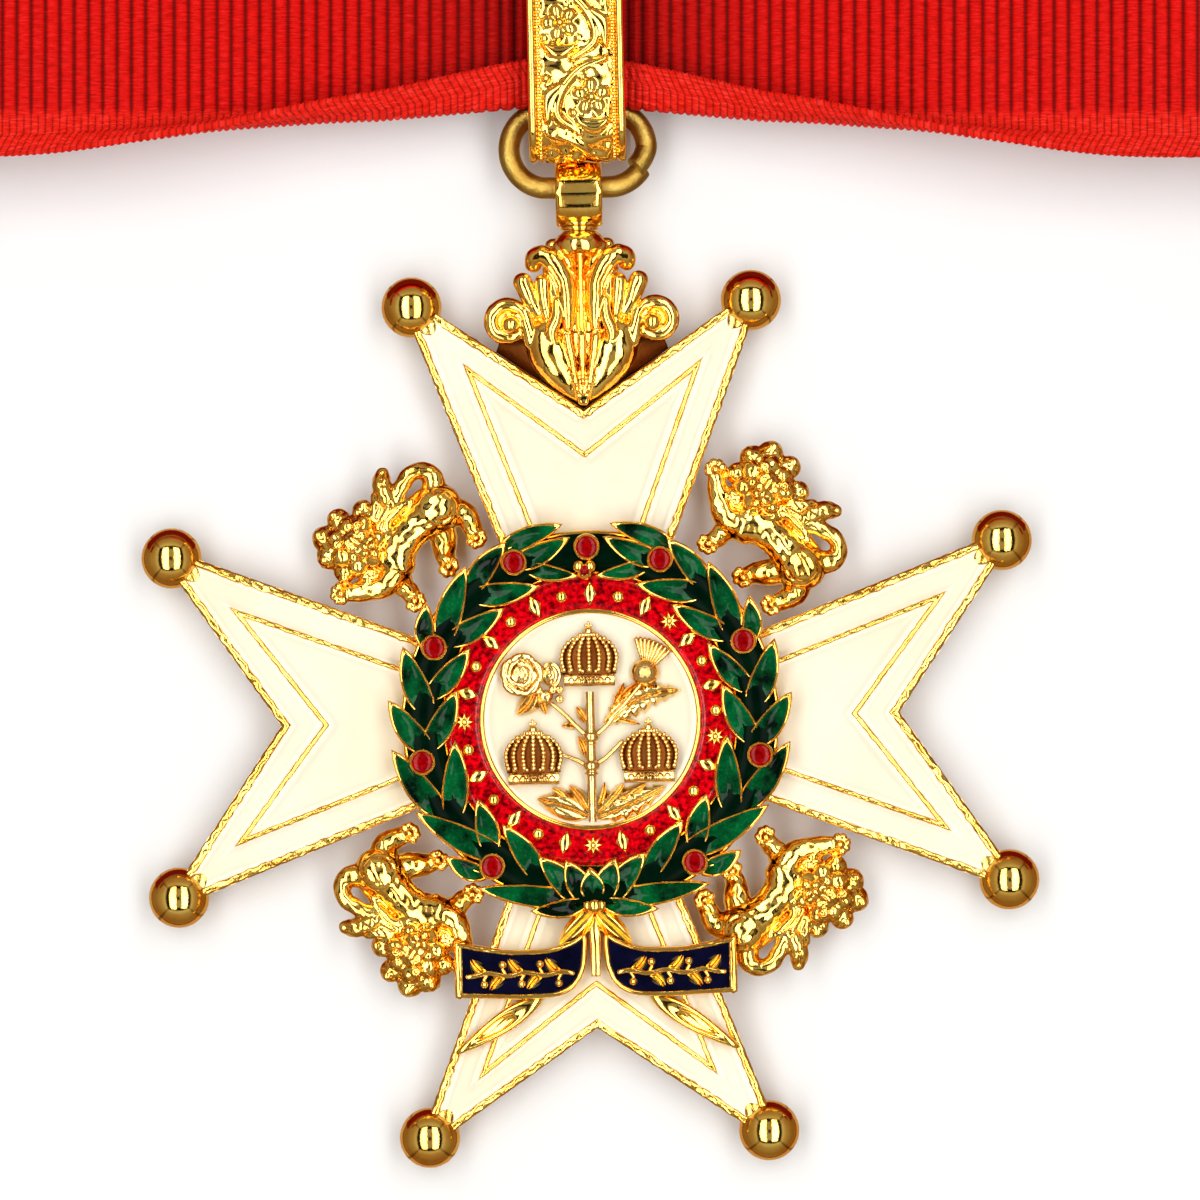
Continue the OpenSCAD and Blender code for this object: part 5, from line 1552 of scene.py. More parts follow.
def make_loop():
    """The bow and its collars on top of the mount."""
    shells = Shells()
    path = stadium_path(BOW_LOW, BOW_HIGH, BOW_DEPTH, [BOW_HIGH - BOW_DEPTH / 2], 30)
    w = np.array([-1.35, -1.25, -1.0, 0.0, 1.0, 1.25, 1.35])
    rise = np.array([-0.16, -0.03, 0.0, 0.04, 0.0, -0.03, -0.16])
    rings = []
    for y, z, ny, nz in path:
        outer = np.column_stack([w, y + rise * ny, MOUNT_MID + z + rise * nz])
        inner_y = np.full(7, y - BOW_WALL * ny)
        inner_z = np.full(7, MOUNT_MID + z - BOW_WALL * nz)
        inner = np.column_stack([w[::-1] * 0.97, inner_y, inner_z])
        rings.append(np.concatenate([outer, inner]))
    shells.grid(rings, around=True)
    rows = [
        (28.3, 0.1), (28.3, 0.98), (28.6, 0.92), (28.78, 1.06), (29.0, 1.27), (29.3, 1.33), (29.6, 1.2),
        (29.75, 1.0), (29.8, 0.3),
    ]
    shells.spindle(rows, MOUNT_MID)
    for y, big in ((28.44, 1.1), (28.7, 1.16)):
        shells.spindle(half_round(y - 0.13, 0.26, 0.9, big - 0.13, 0.13, 7), MOUNT_MID)
    finished("mount_loop_gilt", shells, ["gold"], ["mount_loop"], crease=55)


def make_ring():
    """The oval ring of dull brass, whose two cut ends lie side by side."""
    r = JUMP_H / 2
    points = []
    for t in np.arange(121) / 120:
        a = JUMP_GAP_AT + t * 2 * PI * 1.004
        x = r * math.cos(a) + (JUMP_W - JUMP_H) / 2 * np.clip(math.cos(a) * 6, -1, 1)
        # Near its ends the wire swings outwards and to its own side
        shift = 0.34 * (0.5 - t) * 2 * max(0.0, abs(0.5 - t) * 2 - 0.8) / 0.2
        out = -0.3 * max(0.0, (0.5 - t) * 2 - 0.8) / 0.2
        points.append([x + out * math.cos(a), r * math.sin(a) + out * math.sin(a), shift])
    line = np.array(points) + [0, JUMP_Y, MOUNT_MID]
    way = np.gradient(line, axis=0)
    way /= np.linalg.norm(way, axis=1)[:, None]
    a = all_round(22)
    rings = []
    for at, along in zip(line, way):
        side = unit(np.cross(along, [0, 0, 1.0]))
        over = np.cross(side, along)
        rings.append(at + JUMP_WIRE / 2 * (np.cos(a)[:, None] * side + np.sin(a)[:, None] * over))
    first = line[0] - way[0] * 0.05 + (rings[0] - line[0]) * 0.9
    last = line[-1] + way[-1] * 0.05 + (rings[-1] - line[-1]) * 0.9
    shells = Shells().grid([first, *rings, last])
    finished("jump_ring_gilt", shells, ["dull"], ["jump_ring"], crease=50)


def foliage(x, s):
    """Height of embossed leafwork from 0 to 1 over the bail's front, by place across and along."""
    total = np.zeros(np.broadcast(x, s).shape)

    def stroke(points, widths, tall=1.0):
        rows = curve_through(np.column_stack([points, widths]), 5)
        for a, b in zip(rows[:-1], rows[1:]):
            way = b[:2] - a[:2]
            t = np.clip(((x - a[0]) * way[0] + (s - a[1]) * way[1]) / max(way @ way, 1e-9), 0, 1)
            w = a[2] + (b[2] - a[2]) * t
            away = np.hypot(x - a[0] - t * way[0], s - a[1] - t * way[1])
            height = tall * np.sqrt(np.clip(1 - (away / w) ** 2, 0, 1))
            np.maximum(total, height, out=total)

    for k in range(10):
        base = 4.3 * k - 3.0
        side = 1 if k % 2 else -1
        # A blossom, the stem that swings past it, a broad leaf and some berries
        for i in range(5):
            a = 2 * PI * i / 5 + 0.3 * k
            at = (side * 0.85 + 0.62 * math.cos(a), base + 0.62 * math.sin(a))
            stroke([at, (at[0] + 0.12 * math.cos(a), at[1] + 0.12 * math.sin(a))], [0.42, 0.4])
        stroke([(side * 0.85, base), (side * 0.86, base + 0.02)], [0.3, 0.3], 1.25)
        stroke(
            [
                (side * 1.7, base - 2.2), (side * 0.2, base - 1.6), (side * -0.9, base - 0.3),
                (side * -1.1, base + 1.1), (side * 0.2, base + 2.1),
            ],
            [0.2, 0.3, 0.34, 0.3, 0.2], 0.9,
        )
        stroke(
            [(side * -0.9, base - 0.6), (side * -1.6, base + 0.2), (side * -1.7, base + 1.4)],
            [0.3, 0.55, 0.15],
        )
        stroke(
            [(side * 0.1, base + 1.4), (side * 1.0, base + 1.7), (side * 1.8, base + 1.3)],
            [0.2, 0.5, 0.15],
        )
        for x0, y0 in ((-0.2, 0.9), (0.35, -1.15), (1.8, 0.9), (-1.75, -1.1)):
            stroke([(side * x0, base + y0), (side * x0 + 0.02, base + y0)], [0.28, 0.28], 0.8)
    return total


def make_bail(sizes):
    """The tall bail: a band with polished rims, rows of small beads and embossed leafwork."""
    r = BAIL_DEPTH / 2
    coarse = np.linspace(BAIL_HIGH - r, BAIL_SEEN, 60)[:-1]
    stops = np.concatenate([coarse, np.linspace(BAIL_SEEN, BAIL_LOW + r, 130)])
    path = stadium_path(BAIL_LOW, BAIL_HIGH, BAIL_DEPTH, stops, 56)
    along = np.concatenate([[0], np.cumsum(np.hypot(*np.diff(path[:, :2], axis=0).T))])
    half = BAIL_W / 2
    steps = np.array([0, 0.03, 0.12, 0.25, 0.38, 0.46, 0.52]) - half
    x = np.concatenate([steps, np.linspace(0.6 - half, half - 0.6, 46), -steps[::-1]])
    edge_rise = np.array([-0.2, 0.02, 0.1, 0.13, 0.1, 0.03, -0.06])
    rim = np.concatenate([edge_rise, np.full(46, -0.1), edge_rise[::-1]])
    front = np.clip((path[:, 3] + 0.75) / 0.3, 0, 1)
    leafwork = foliage(x[None, :], along[:, None] - 18.0)
    spots = np.stack(np.broadcast_arrays(x[None, :], along[:, None]), -1)
    leafwork = np.maximum(leafwork, 0.3 + 0.3 * ripple(spots, 1.1, 9)) * front[:, None]
    field = np.clip((half - 0.75 - abs(x)) / 0.2, 0, 1)[None, :]
    rise = rim[None, :] + sizes.emboss / MM * leafwork * field - 0.08 * field
    rings = []
    inner_x = np.linspace(half, -half, 9)
    for (y, z, ny, nz), up in zip(path, rise):
        outer = np.column_stack([x, y + up * ny, BAIL_MID + z + up * nz])
        inner_y = np.full(9, y - BAIL_WALL * ny)
        inner_z = np.full(9, BAIL_MID + z - BAIL_WALL * nz)
        rings.append(np.concatenate([outer, np.column_stack([inner_x, inner_y, inner_z])]))
    shells = Shells().grid(rings, around=True)
    finished("ribbon_bail_gilt", shells, ["gold"], ["ribbon_bail"], crease=50)
    places = np.arange(0.2, along[np.argmax(path[:, 3] < -0.2)], 0.34)
    y, z, ny, nz = (np.interp(places, along, column) for column in path.T)
    points = []
    for s in (-1, 1):
        across = np.full(len(y), s * (half - 0.68))
        points.append(np.column_stack([across, y - 0.04 * ny, BAIL_MID + z - 0.04 * nz]))
    points = np.concatenate(points)
    beads("ribbon_bail_beads_gilt", points, np.full(len(points), 0.15), looks()["gold"])


# Ribbon

RIBBON_LOW = 32.425
RIBBON_W = 38.0
TURN_R = 5.0
LOOP_L = 472.0
HALF_L = (LOOP_L - 2 * PI * TURN_R) / 4
FRONT_LEVEL = 2.4
FRONT_TOP = 10.5
BACK_LEVEL = 0.5
BACK_SHIFT = 4.3
FOLD_R = 0.6
FOLD_REACH = 40.0
MARGIN_FAR = 2.0
MARGIN_LOW = 4.725
MARGIN_HIGH = 6.725
TURN_ROWS = np.array(
    [[0, 180], [0.1, 168], [0.225, 145], [0.375, 122], [0.5, 92], [0.65, 62], [0.825, 18], [1, 0]]
)
MARGIN_ROWS = np.array(
    [
        [0, 1], [0.06, 1], [0.085, 0.92], [0.107, 0.8], [0.16, 0.62], [0.275, 0.47], [0.425, 0.4],
        [0.57, 0.32], [0.8, 0.1], [1, 0],
    ]
)
RISE_ROWS = np.array(
    [
        [0, 0], [0.09, 0], [0.18, 0.07], [0.27, 0.2], [0.36, 0.37], [0.45, 0.56], [0.55, 0.72],
        [0.64, 0.85], [0.73, 0.94], [0.84, 0.99], [1, 1],
    ]
)
PIVOT_Y = 49.3
RIBBON_TURN = -1.3
THREAD_PITCH = 0.42
CLASP_X = (-33.0, -27.0)
CLASP_H = 34.0


def with_ribbon(points):
    """Points turned as the ribbon lies against the cross."""
    shift = np.array([0, PIVOT_Y, 0])
    return turned(np.asarray(points) - shift, RIBBON_TURN) + shift


def eased(rows, at, width):
    """A table's value, with its corners rounded over a width."""
    return sum(np.interp(at + d * width, rows[:, 0], rows[:, 1]) for d in (-1, -0.5, 0, 0.5, 1)) / 5


def margin_points(margin, turn, fold_steps, flap_steps):
    """A turned margin's middle line: place past the edge, height over the base and turn."""
    bent = min(PI * FOLD_R, 0.6 * margin)
    angle = math.radians(max(turn, 0.5))
    r = bent / angle
    out = []
    for t in np.linspace(0, angle, fold_steps + 1):
        out.append([r * math.sin(t), r * (1 - math.cos(t)), t])
    at = out[-1]
    for t in np.linspace(0, 1, flap_steps + 1)[1:]:
        flap = (margin - bent) * t
        out.append([at[0] + flap * math.cos(angle), at[1] + flap * math.sin(angle), angle])
    return out


def back_shift(s):
    """How far a strand lies from the front's middle, by its distance from the bail."""
    return BACK_SHIFT / 2 * max(0, (s - FOLD_REACH) / (HALF_L - FOLD_REACH))


def ribbon_stations(pitch):
    """Rows along the loop: place, level, way of the outer face, sideways shift, distance for
    the folds, and length from the middle of the front."""
    near = np.arange(0, 36, pitch / 8)
    mid = np.arange(near[-1] + pitch / 3, HALF_L - pitch / 6, pitch / 3)
    front = np.concatenate([near, mid])
    rows = []
    for s in front:
        level = FRONT_LEVEL + (FRONT_TOP - FRONT_LEVEL) * float(eased(RISE_ROWS, s / HALF_L, 0.04))
        rows.append([s, level, 0.0, back_shift(s), s, s])
    for a in np.linspace(0, PI, round(PI * TURN_R / (pitch / 3))):
        x = HALF_L + TURN_R * math.sin(a)
        level = FRONT_TOP - TURN_R + TURN_R * math.cos(a)
        rows.append([x, level, a, BACK_SHIFT / 2, FOLD_REACH, HALF_L + TURN_R * a])
    for s in HALF_L - np.arange(pitch / 2, HALF_L, pitch / 2):
        shift = BACK_SHIFT - back_shift(s)
        rows.append([s, BACK_LEVEL, PI, shift, FOLD_REACH, 2 * HALF_L + PI * TURN_R - s])
    right = np.array(rows)
    left = right[1:][::-1] * [-1, 1, -1, 1, 1, -1]
    return np.concatenate([right, left])


def true_pitch(sizes):
    """The distance between ribs with which a whole number of them goes round the loop."""
    return LOOP_L / round(LOOP_L / (sizes.rib_pitch / MM))


def cloth_section(sizes, pitch, near, s):
    """The ribbon's outline across its width at one place along the loop, and the place of
    each of its corners across the cloth."""
    at = near / FOLD_REACH
    turn = float(eased(TURN_ROWS, at, 0.03))
    extra = float(np.interp(at, MARGIN_ROWS[:, 0], MARGIN_ROWS[:, 1]))
    m_low = MARGIN_FAR + (MARGIN_LOW - MARGIN_FAR) * min(extra, max(0.46, 0.74 - at))
    m_high = MARGIN_FAR + (MARGIN_HIGH - MARGIN_FAR) * extra
    a = RIBBON_LOW + m_low
    b = RIBBON_LOW + RIBBON_W - m_high
    mid = [(a - p, h, math.sin(t), math.cos(t)) for p, h, t in margin_points(m_low, turn, 5, 3)[::-1]]
    mid += [(a + (b - a) * t, 0.0, 0.0, 1.0) for t in np.linspace(0, 1, 9)[1:-1]]
    mid += [(b + p, h, -math.sin(t), math.cos(t)) for p, h, t in margin_points(m_high, turn, 5, 3)]
    mid = np.array(mid)
    rib = 2 * abs(math.sin(PI * s / pitch)) - 1
    # The folded strip has finer ribs than the face
    fine = 2 * abs(math.sin(2 * PI * s / pitch)) - 1 if abs(s) < 35 else rib
    across = np.concatenate([[0], np.cumsum(np.hypot(*np.diff(mid[:, :2], axis=0).T))])
    face_share = np.interp(across, [2.3, 3.0], [0, 1])
    half = 0.3 + sizes.rib_height / MM / 2 * (face_share * rib + (1 - face_share) * 0.6 * fine)
    # The woven edge is thinner, and goes in and out with the ribs
    half[[0, -1]] *= 0.55
    mid[0, :2] += 0.07 * fine * (mid[0, :2] - mid[1, :2])
    mid[-1, :2] += 0.07 * rib * (mid[-1, :2] - mid[-2, :2])
    thick = half[:, None] * mid[:, 2:]
    section = np.concatenate([mid[:, :2] + thick, (mid[:, :2] - thick)[::-1]])
    across /= RIBBON_W
    return section, np.concatenate([across, across[::-1]])


def make_ribbon(sizes):
    """The ribbed neck ribbon: one closed loop whose margins are folded forward in the bail."""
    pitch = true_pitch(sizes)
    rings = []
    cloth = []
    for x, level, face, shift, near, s in ribbon_stations(pitch):
        section, across = cloth_section(sizes, pitch, near, s)
        y, out = section.T
        rings.append(np.column_stack([x + out * math.sin(face), y + shift, level + out * math.cos(face)]))
        cloth.append(np.column_stack([np.full(len(y), s / LOOP_L % 1.0), across]))
    shells = Shells().grid(with_ribbon(rings), around=True)
    piece = finished("neck_ribbon_cloth", shells, ["silk"], ["neck_ribbon"])
    lay_threads(piece.data, np.concatenate(cloth))


def lay_threads(mesh, places):
    """Gives each corner its place along and across the cloth, in shares of both."""
    layer = mesh.uv_layers.new(name="cloth")
    corners = np.empty(len(mesh.loops), int)
    mesh.loops.foreach_get("vertex_index", corners)
    uv = places[corners]
    starts = np.empty(len(mesh.polygons), int)
    mesh.polygons.foreach_get("loop_start", starts)
    for k in range(4):
        # A face that closes the loop runs from nearly one to zero
        first = uv[starts, 0]
        corner = uv[starts + k, 0]
        uv[starts + k, 0] = corner - np.round(corner - first)
    layer.uv.foreach_set("vector", uv.ravel())


def ribs_of(tree, at, rate):
    """How high ribs stand at a place along the ribbon, from 0 to 1."""
    return maths(tree, "ABSOLUTE", maths(tree, "SINE", maths(tree, "MULTIPLY", at, rate)))


def rib_shade(tree, along, across, strip, pitch):
    """Painted shade in the grooves, and the paler strip along the edge, which leans and has finer
    ribs. Painted shade makes the face darker near the bail."""
    lean = ranged(tree, across, 0.0, 1.2, 0.6, 0.0)
    wide = ribs_of(tree, along, PI / pitch)
    fine = ribs_of(tree, maths(tree, "ADD", along, lean), 2 * PI / pitch)
    ribs = mixed(tree, wide, maths(tree, "MULTIPLY_ADD", fine, 0.75, 0.25), strip, "MIX", "FLOAT")
    # Painted shade in the grooves between the ribs
    shade = ramp_of(tree, ribs, [(0.0, 0.16), (0.3, 0.42), (0.62, 0.9), (0.95, 1.0)])
    # Painted shade darkens the face near the bail
    near = maths(tree, "DIVIDE", maths(tree, "PINGPONG", along, LOOP_L / 2), LOOP_L / 2)
    depth = ramp_of(tree, near, [(0.0, 0.42), (0.055, 0.92), (0.2, 1.0)])
    return mixed(tree, shade, mixed(tree, depth, (1.1, 3.4, 3.2, 1.0), strip, "MIX"))


def ribbon_look(sizes):
    """Red silk with fine cross threads, woven edges and a soft bloom."""
    material, tree, shader = new_material("red ribbed silk")
    place = add_node(tree, "ShaderNodeUVMap", uv_map="cloth").outputs["UV"]
    cloth = scaled(tree, place, (LOOP_L, RIBBON_W, 1.0))
    split = add_node(tree, "ShaderNodeSeparateXYZ", {"Vector": cloth}).outputs
    # Threads run over the ribs along the ribbon, and their rows lie across it
    threads = noise(tree, scaled(tree, cloth, (1.3, 9.0, 1.0)), 1.0, 3.0, 0.6)
    rows = maths(tree, "SINE", maths(tree, "MULTIPLY", split["Y"], 2 * PI / THREAD_PITCH))
    base = tuple(sizes.colour)
    deep = tuple(0.62 * c for c in base)
    pale = tuple(min(1.0, 1.25 * c + 0.012) for c in base)
    tones = ramp_of(tree, threads, [(0.3, deep), (0.5, base), (0.75, pale)])
    strip = ranged(tree, split["Y"], 2.2, 2.9, 1.0, 0.0)
    shade = rib_shade(tree, split["X"], split["Y"], strip, true_pitch(sizes))
    fill(
        tree, shader,
        {
            "Base Color": mixed(tree, tones, shade),
            "Normal": bumped(tree, maths(tree, "MULTIPLY_ADD", rows, 0.3, threads), 0.5, 0.12 * MM),
            "Roughness": 0.62, "Sheen Weight": 0.015, "Sheen Roughness": 0.4,
            "Sheen Tint": (1.0, 0.3, 0.3, 1.0), "Specular IOR Level": 0.05,
        },
    )
    return material


def make_clasp():
    """The plain hidden clasp on the back strand, with its edges rounded."""
    low = RIBBON_LOW + RIBBON_W / 2 + BACK_SHIFT - CLASP_H / 2
    high = low + CLASP_H
    left, right = CLASP_X
    shells = Shells()
    outline = [[left, low], [right, low], [right, high], [left, high]]
    shells.plateau(outline, [(0.15, 1.04), (0.0, 1.2), (0.0, 1.75), (0.2, 1.94)])
    for y in (low + 1.0, high - 1.0):
        shells.rod(with_ribbon([[left + 0.5, y, 1.8], [right - 0.5, y, 1.8]]), 0.12, 8)
    shells.verts[0] = with_ribbon(shells.verts[0])
    finished("ribbon_clasp_metal", shells, ["clasp"], ["ribbon_clasp"], crease=40)


def make_back():
    """The plain round plate on the back, with a rounded edge."""
    rows = [(0.1, 0.0), (8.7, 0.0), (8.85, 0.05), (8.98, 0.2), (8.98, 0.7), (8.9, 0.8), (0.1, 0.8)]
    plate = Shells().turned_solid(rows, sides=128)
    finished("back_plate_gilt", plate, ["hammered"], ["back_plate"], crease=40)


# Stage

# Place, width, length and height of the bright strips, in metres
STRIP_X = 0.279
STRIP_W = 0.282
STRIP_L = 1.12
STRIP_UP = 0.6
# Width, middle, level and turn of what the camera sees
VIEW_W = 69.57
VIEW_AT = (0.7095, 6.879)
VIEW_LEVEL = 2.0
VIEW_TURN = -1.27
# Tones from straight up, 0, to straight down, 1
TENT_TONES = [
    (0.0, 0.02), (0.035, 0.02), (0.05, 0.5), (0.2, 0.5), (0.206, 0.015), (0.272, 0.015),
    (0.285, (0.8, 0.79, 0.76)), (0.38, (0.5, 0.42, 0.32)), (0.56, (0.34, 0.22, 0.11)),
    (0.69, (0.4, 0.22, 0.08)), (0.7, (0.05, 0.03, 0.01)), (0.715, (0.05, 0.03, 0.01)),
    (0.725, (0.8, 0.52, 0.25)),
]


def strip_light(name, x, radiance, diffuse):
    """A bright strip above one side. It lights either matt or glossy things."""
    data = bpy.data.lights.new(name, "AREA")
    data.shape = "RECTANGLE"
    data.size = STRIP_W
    data.size_y = STRIP_L
    data.energy = radiance * PI * STRIP_W * STRIP_L
    lamp = placed(name, data)
    lamp.location = (x, 0.007, STRIP_UP)
    lamp.visible_camera = False
    lamp.visible_diffuse = diffuse
    lamp.visible_glossy = not diffuse


def tent_world(strength):
    """A pale tent: grey walls with dark seams, and a red shade low on the ribbon's side."""
    world = bpy.data.worlds.new("tent")
    world.use_nodes = True
    tree = world.node_tree
    place = tree.nodes.new("ShaderNodeTexCoord").outputs["Generated"]
    split = add_node(tree, "ShaderNodeSeparateXYZ", {"Vector": place}).outputs
    x = maths(tree, "ABSOLUTE", split["X"])
    y = maths(tree, "ABSOLUTE", split["Y"])
    side = maths(tree, "MAXIMUM", x, y)
    # Angle from straight up, measured to the nearer wall
    share = maths(tree, "DIVIDE", maths(tree, "ARCTAN2", side, split["Z"]), PI)
    seam = maths(tree, "DIVIDE", maths(tree, "ABSOLUTE", maths(tree, "SUBTRACT", x, y)), side)
    walls = mixed(tree, ramp_of(tree, share, TENT_TONES), ranged(tree, seam, 0.0, 0.13, 0.12, 1.0))
    # The ribbon's red shade, low on its own side
    low = maths(tree, "GREATER_THAN", share, 0.57)
    high = maths(tree, "LESS_THAN", share, 0.79)
    toward = maths(tree, "GREATER_THAN", split["Y"], 0.35)
    band = maths(tree, "MULTIPLY", maths(tree, "MULTIPLY", low, high), toward)
    red = mixed(tree, walls, (0.22, 0.012, 0.01, 1), band, "MIX")
    fill(tree, tree.nodes["Background"], {"Color": red, "Strength": strength})
    return world


def make_stage(sizes):
    """The pale floor, the tent, the lights and the camera of the photograph."""
    scene = bpy.context.scene
    scene.world = tent_world(sizes.tent)
    mesh = bpy.data.meshes.new("floor")
    mesh.from_pydata([(-1, -1, 0), (1, -1, 0), (1, 1, 0), (-1, 1, 0)], [], [(0, 1, 2, 3)])
    material, tree, shader = new_material("pale board")
    cloud = noise(tree, tree.nodes.new("ShaderNodeTexCoord").outputs["Object"], 40.0, 3.0)
    tones = ramp_of(tree, cloud, [(0.3, (0.8, 0.8, 0.795)), (0.7, (0.83, 0.83, 0.825))])
    fill(tree, shader, {"Base Color": tones, "Roughness": 0.8})
    mesh.materials.append(material)
    floor = placed("floor", mesh)
    floor.visible_glossy = False
    for s in (-1, 1):
        strip_light(f"strip {s}", s * STRIP_X, sizes.strips, False)
        strip_light(f"fill {s}", s * STRIP_X, sizes.fill, True)
    data = bpy.data.cameras.new("camera")
    data.lens = sizes.lens
    data.sensor_width = 36.0
    data.clip_start = 0.01
    camera = placed("camera", data)
    distance = VIEW_W * data.lens / data.sensor_width
    camera.location = [c * MM for c in (*VIEW_AT, VIEW_LEVEL + distance)]
    camera.rotation_euler = (0, 0, math.radians(VIEW_TURN))
    scene.camera = camera
    scene.view_settings.view_transform = "Standard"


# Panel and operators


def length(name, text, default, low, high):
    """A length in millimetres as a property in metres."""
    return FloatProperty(
        name=name, description=text, default=default * MM, min=low * MM, max=high * MM, unit="LENGTH",
        subtype="DISTANCE", precision=5,
    )


def tint(name, text, default):
    return FloatVectorProperty(
        name=name, description=text, default=default, size=3, min=0.0, max=1.0, subtype="COLOR",
    )


class BadgeMetal(bpy.types.PropertyGroup):
    gold: tint("Gold", "Colour of the gilding", (0.93, 0.60, 0.13))
    dull_gold: tint("Ring gold", "Colour of the ring's duller gilding", (0.42, 0.29, 0.065))


class BadgeCross(bpy.types.PropertyGroup):
    rim_width: length("Rim width", "Width of the hammered rim round each arm", 0.5, 0.3, 0.6)
    ridge_width: length("Line width", "Width of the raised line in each arm", 0.32, 0.2, 0.4)
    hammering: length("Hammering", "Depth of the unevenness of the rims", 0.055, 0.0, 0.08)
    enamel_dish: length("Enamel dish", "How far the enamel sinks between its edges", 0.12, 0.0, 0.2)


class BadgeCentre(bpy.types.PropertyGroup):
    star_reach: length("Star reach", "Reach of the stars on the red ring", 0.75, 0.5, 0.8)


class BadgeWreath(bpy.types.PropertyGroup):
    leaf_width: length("Leaf width", "Width of the widest leaf", 1.62, 1.2, 1.8)
    leaf_edge: length("Leaf edge", "Width of a leaf's gilt edge", 0.19, 0.1, 0.22)
    berry_radius: length("Berry radius", "Radius of a berry", 0.58, 0.5, 0.64)


class BadgeLions(bpy.types.PropertyGroup):
    lion_grain: length("Lion grain", "Size of the mesh cells of a lion", 0.085, 0.07, 0.2)


class BadgeBail(bpy.types.PropertyGroup):
    emboss: length("Embossing", "Height of the leafwork on the bail", 0.38, 0.1, 0.4)


class BadgeRibbon(bpy.types.PropertyGroup):
    colour: tint("Colour", "Colour of the ribbon", (0.72, 0.0035, 0.0012))
    rib_pitch: length("Rib pitch", "Distance between the ribs", 0.82, 0.8, 1.4)
    rib_height: length("Rib height", "Height of the ribs", 0.24, 0.0, 0.3)


class BadgeStage(bpy.types.PropertyGroup):
    tent: FloatProperty(name="Tent", description="Strength of the tent's light", default=0.8, min=0.0)
    strips: FloatProperty(
        name="Strips", description="Radiance of the two bright strips", default=6.0, min=0.0,
    )
    fill: FloatProperty(
        name="Fill", description="Radiance of the soft light on matt things", default=5.5, min=0.0,
    )
    lens: FloatProperty(
        name="Lens", description="Focal length of the camera", default=232.8, min=50.0,
        subtype="DISTANCE_CAMERA",
    )


class Step:
    """What all the operators share."""

    bl_options = {"REGISTER", "UNDO"}


class BADGE_OT_cross(Step, bpy.types.Operator):
    """Makes the gilt cross, its enamel and its back plate"""

    bl_idname = "badge.cross"
    bl_label = "Cross"

    def execute(self, context):
        make_back()
        make_cross(context.scene.badge_cross)
        make_arm_enamel(context.scene.badge_cross)
        return {"FINISHED"}


class BADGE_OT_centre(Step, bpy.types.Operator):
    """Makes the disc with its red ring and cream middle"""

    bl_idname = "badge.centre"
    bl_label = "Centre"

    def execute(self, context):
        make_centre(context.scene.badge_centre)
        return {"FINISHED"}


class BADGE_OT_relief(Step, bpy.types.Operator):
    """Makes the crowns, the sceptre and the flowers"""

    bl_idname = "badge.relief"
    bl_label = "Relief"

    def execute(self, context):
        make_crowns()
        make_sceptre()
        make_rose()
        make_thistle()
        return {"FINISHED"}


class BADGE_OT_wreath(Step, bpy.types.Operator):
    """Makes the laurel wreath with its berries"""

    bl_idname = "badge.wreath"
    bl_label = "Wreath"

    def execute(self, context):
        make_wreath(context.scene.badge_wreath)
        return {"FINISHED"}


class BADGE_OT_lions(Step, bpy.types.Operator):
    """Makes the four lions between the arms"""

    bl_idname = "badge.lions"
    bl_label = "Lions"

    def execute(self, context):
        make_lions(context.scene.badge_lions)
        return {"FINISHED"}


class BADGE_OT_scroll(Step, bpy.types.Operator):
    """Makes the scroll and its tie"""

    bl_idname = "badge.scroll"
    bl_label = "Scroll"

    def execute(self, context):
        make_scroll()
        make_tie()
        return {"FINISHED"}


class BADGE_OT_mount(Step, bpy.types.Operator):
    """Makes the leafy mount, its bow and the ring"""

    bl_idname = "badge.mount"
    bl_label = "Mount and ring"

    def execute(self, context):
        make_mount()
        make_loop()
        make_ring()
        return {"FINISHED"}


class BADGE_OT_bail(Step, bpy.types.Operator):
    """Makes the embossed bail"""

    bl_idname = "badge.bail"
    bl_label = "Bail"

    def execute(self, context):
        make_bail(context.scene.badge_bail)
        return {"FINISHED"}


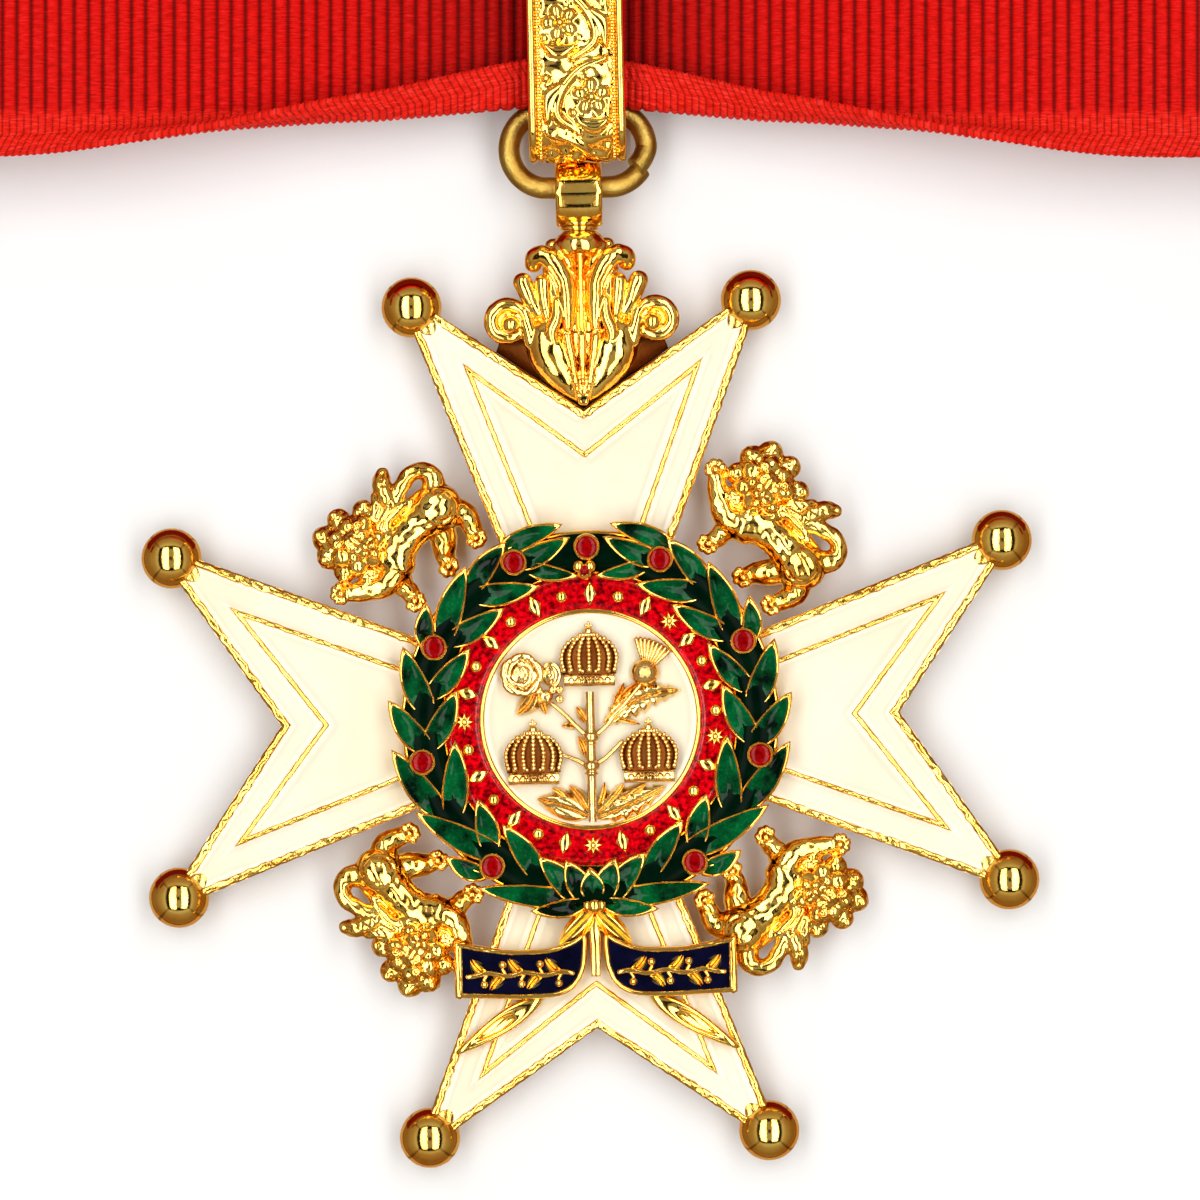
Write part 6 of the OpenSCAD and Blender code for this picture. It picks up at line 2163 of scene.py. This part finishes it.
class BADGE_OT_ribbon(Step, bpy.types.Operator):
    """Makes the neck ribbon and its clasp"""

    bl_idname = "badge.ribbon"
    bl_label = "Ribbon"

    def execute(self, context):
        make_ribbon(context.scene.badge_ribbon)
        make_clasp()
        return {"FINISHED"}


class BADGE_OT_stage(Step, bpy.types.Operator):
    """Makes the floor, the lights and the camera"""

    bl_idname = "badge.stage"
    bl_label = "Stage"

    def execute(self, context):
        make_stage(context.scene.badge_stage)
        return {"FINISHED"}


class BADGE_PT_panel(bpy.types.Panel):
    """Lists what makes the badge"""

    bl_idname = "BADGE_PT_panel"
    bl_label = "Neck Badge"
    bl_space_type = "VIEW_3D"
    bl_region_type = "UI"
    bl_category = "Neck Badge"

    def draw(self, context):
        for group in GROUPS:
            for name in GROUPS[group].__annotations__:
                self.layout.prop(getattr(context.scene, group), name)
        for operator in OPERATORS:
            self.layout.operator(operator.bl_idname)


GROUPS = {
    "badge_metal": BadgeMetal, "badge_cross": BadgeCross, "badge_centre": BadgeCentre,
    "badge_wreath": BadgeWreath, "badge_lions": BadgeLions, "badge_bail": BadgeBail,
    "badge_ribbon": BadgeRibbon, "badge_stage": BadgeStage,
}
OPERATORS = (
    BADGE_OT_cross, BADGE_OT_centre, BADGE_OT_relief, BADGE_OT_wreath, BADGE_OT_lions, BADGE_OT_scroll,
    BADGE_OT_mount, BADGE_OT_bail, BADGE_OT_ribbon, BADGE_OT_stage,
)


def register():
    for name, group in GROUPS.items():
        bpy.utils.register_class(group)
        setattr(bpy.types.Scene, name, PointerProperty(type=group))
    for operator in OPERATORS:
        bpy.utils.register_class(operator)
    bpy.utils.register_class(BADGE_PT_panel)


def unregister():
    bpy.utils.unregister_class(BADGE_PT_panel)
    for operator in reversed(OPERATORS):
        bpy.utils.unregister_class(operator)
    for name, group in reversed(GROUPS.items()):
        delattr(bpy.types.Scene, name)
        bpy.utils.unregister_class(group)


def main():
    register()
    for operator in OPERATORS:
        kind, name = operator.bl_idname.split(".")
        getattr(getattr(bpy.ops, kind), name)()


if __name__ == "__main__":
    main()
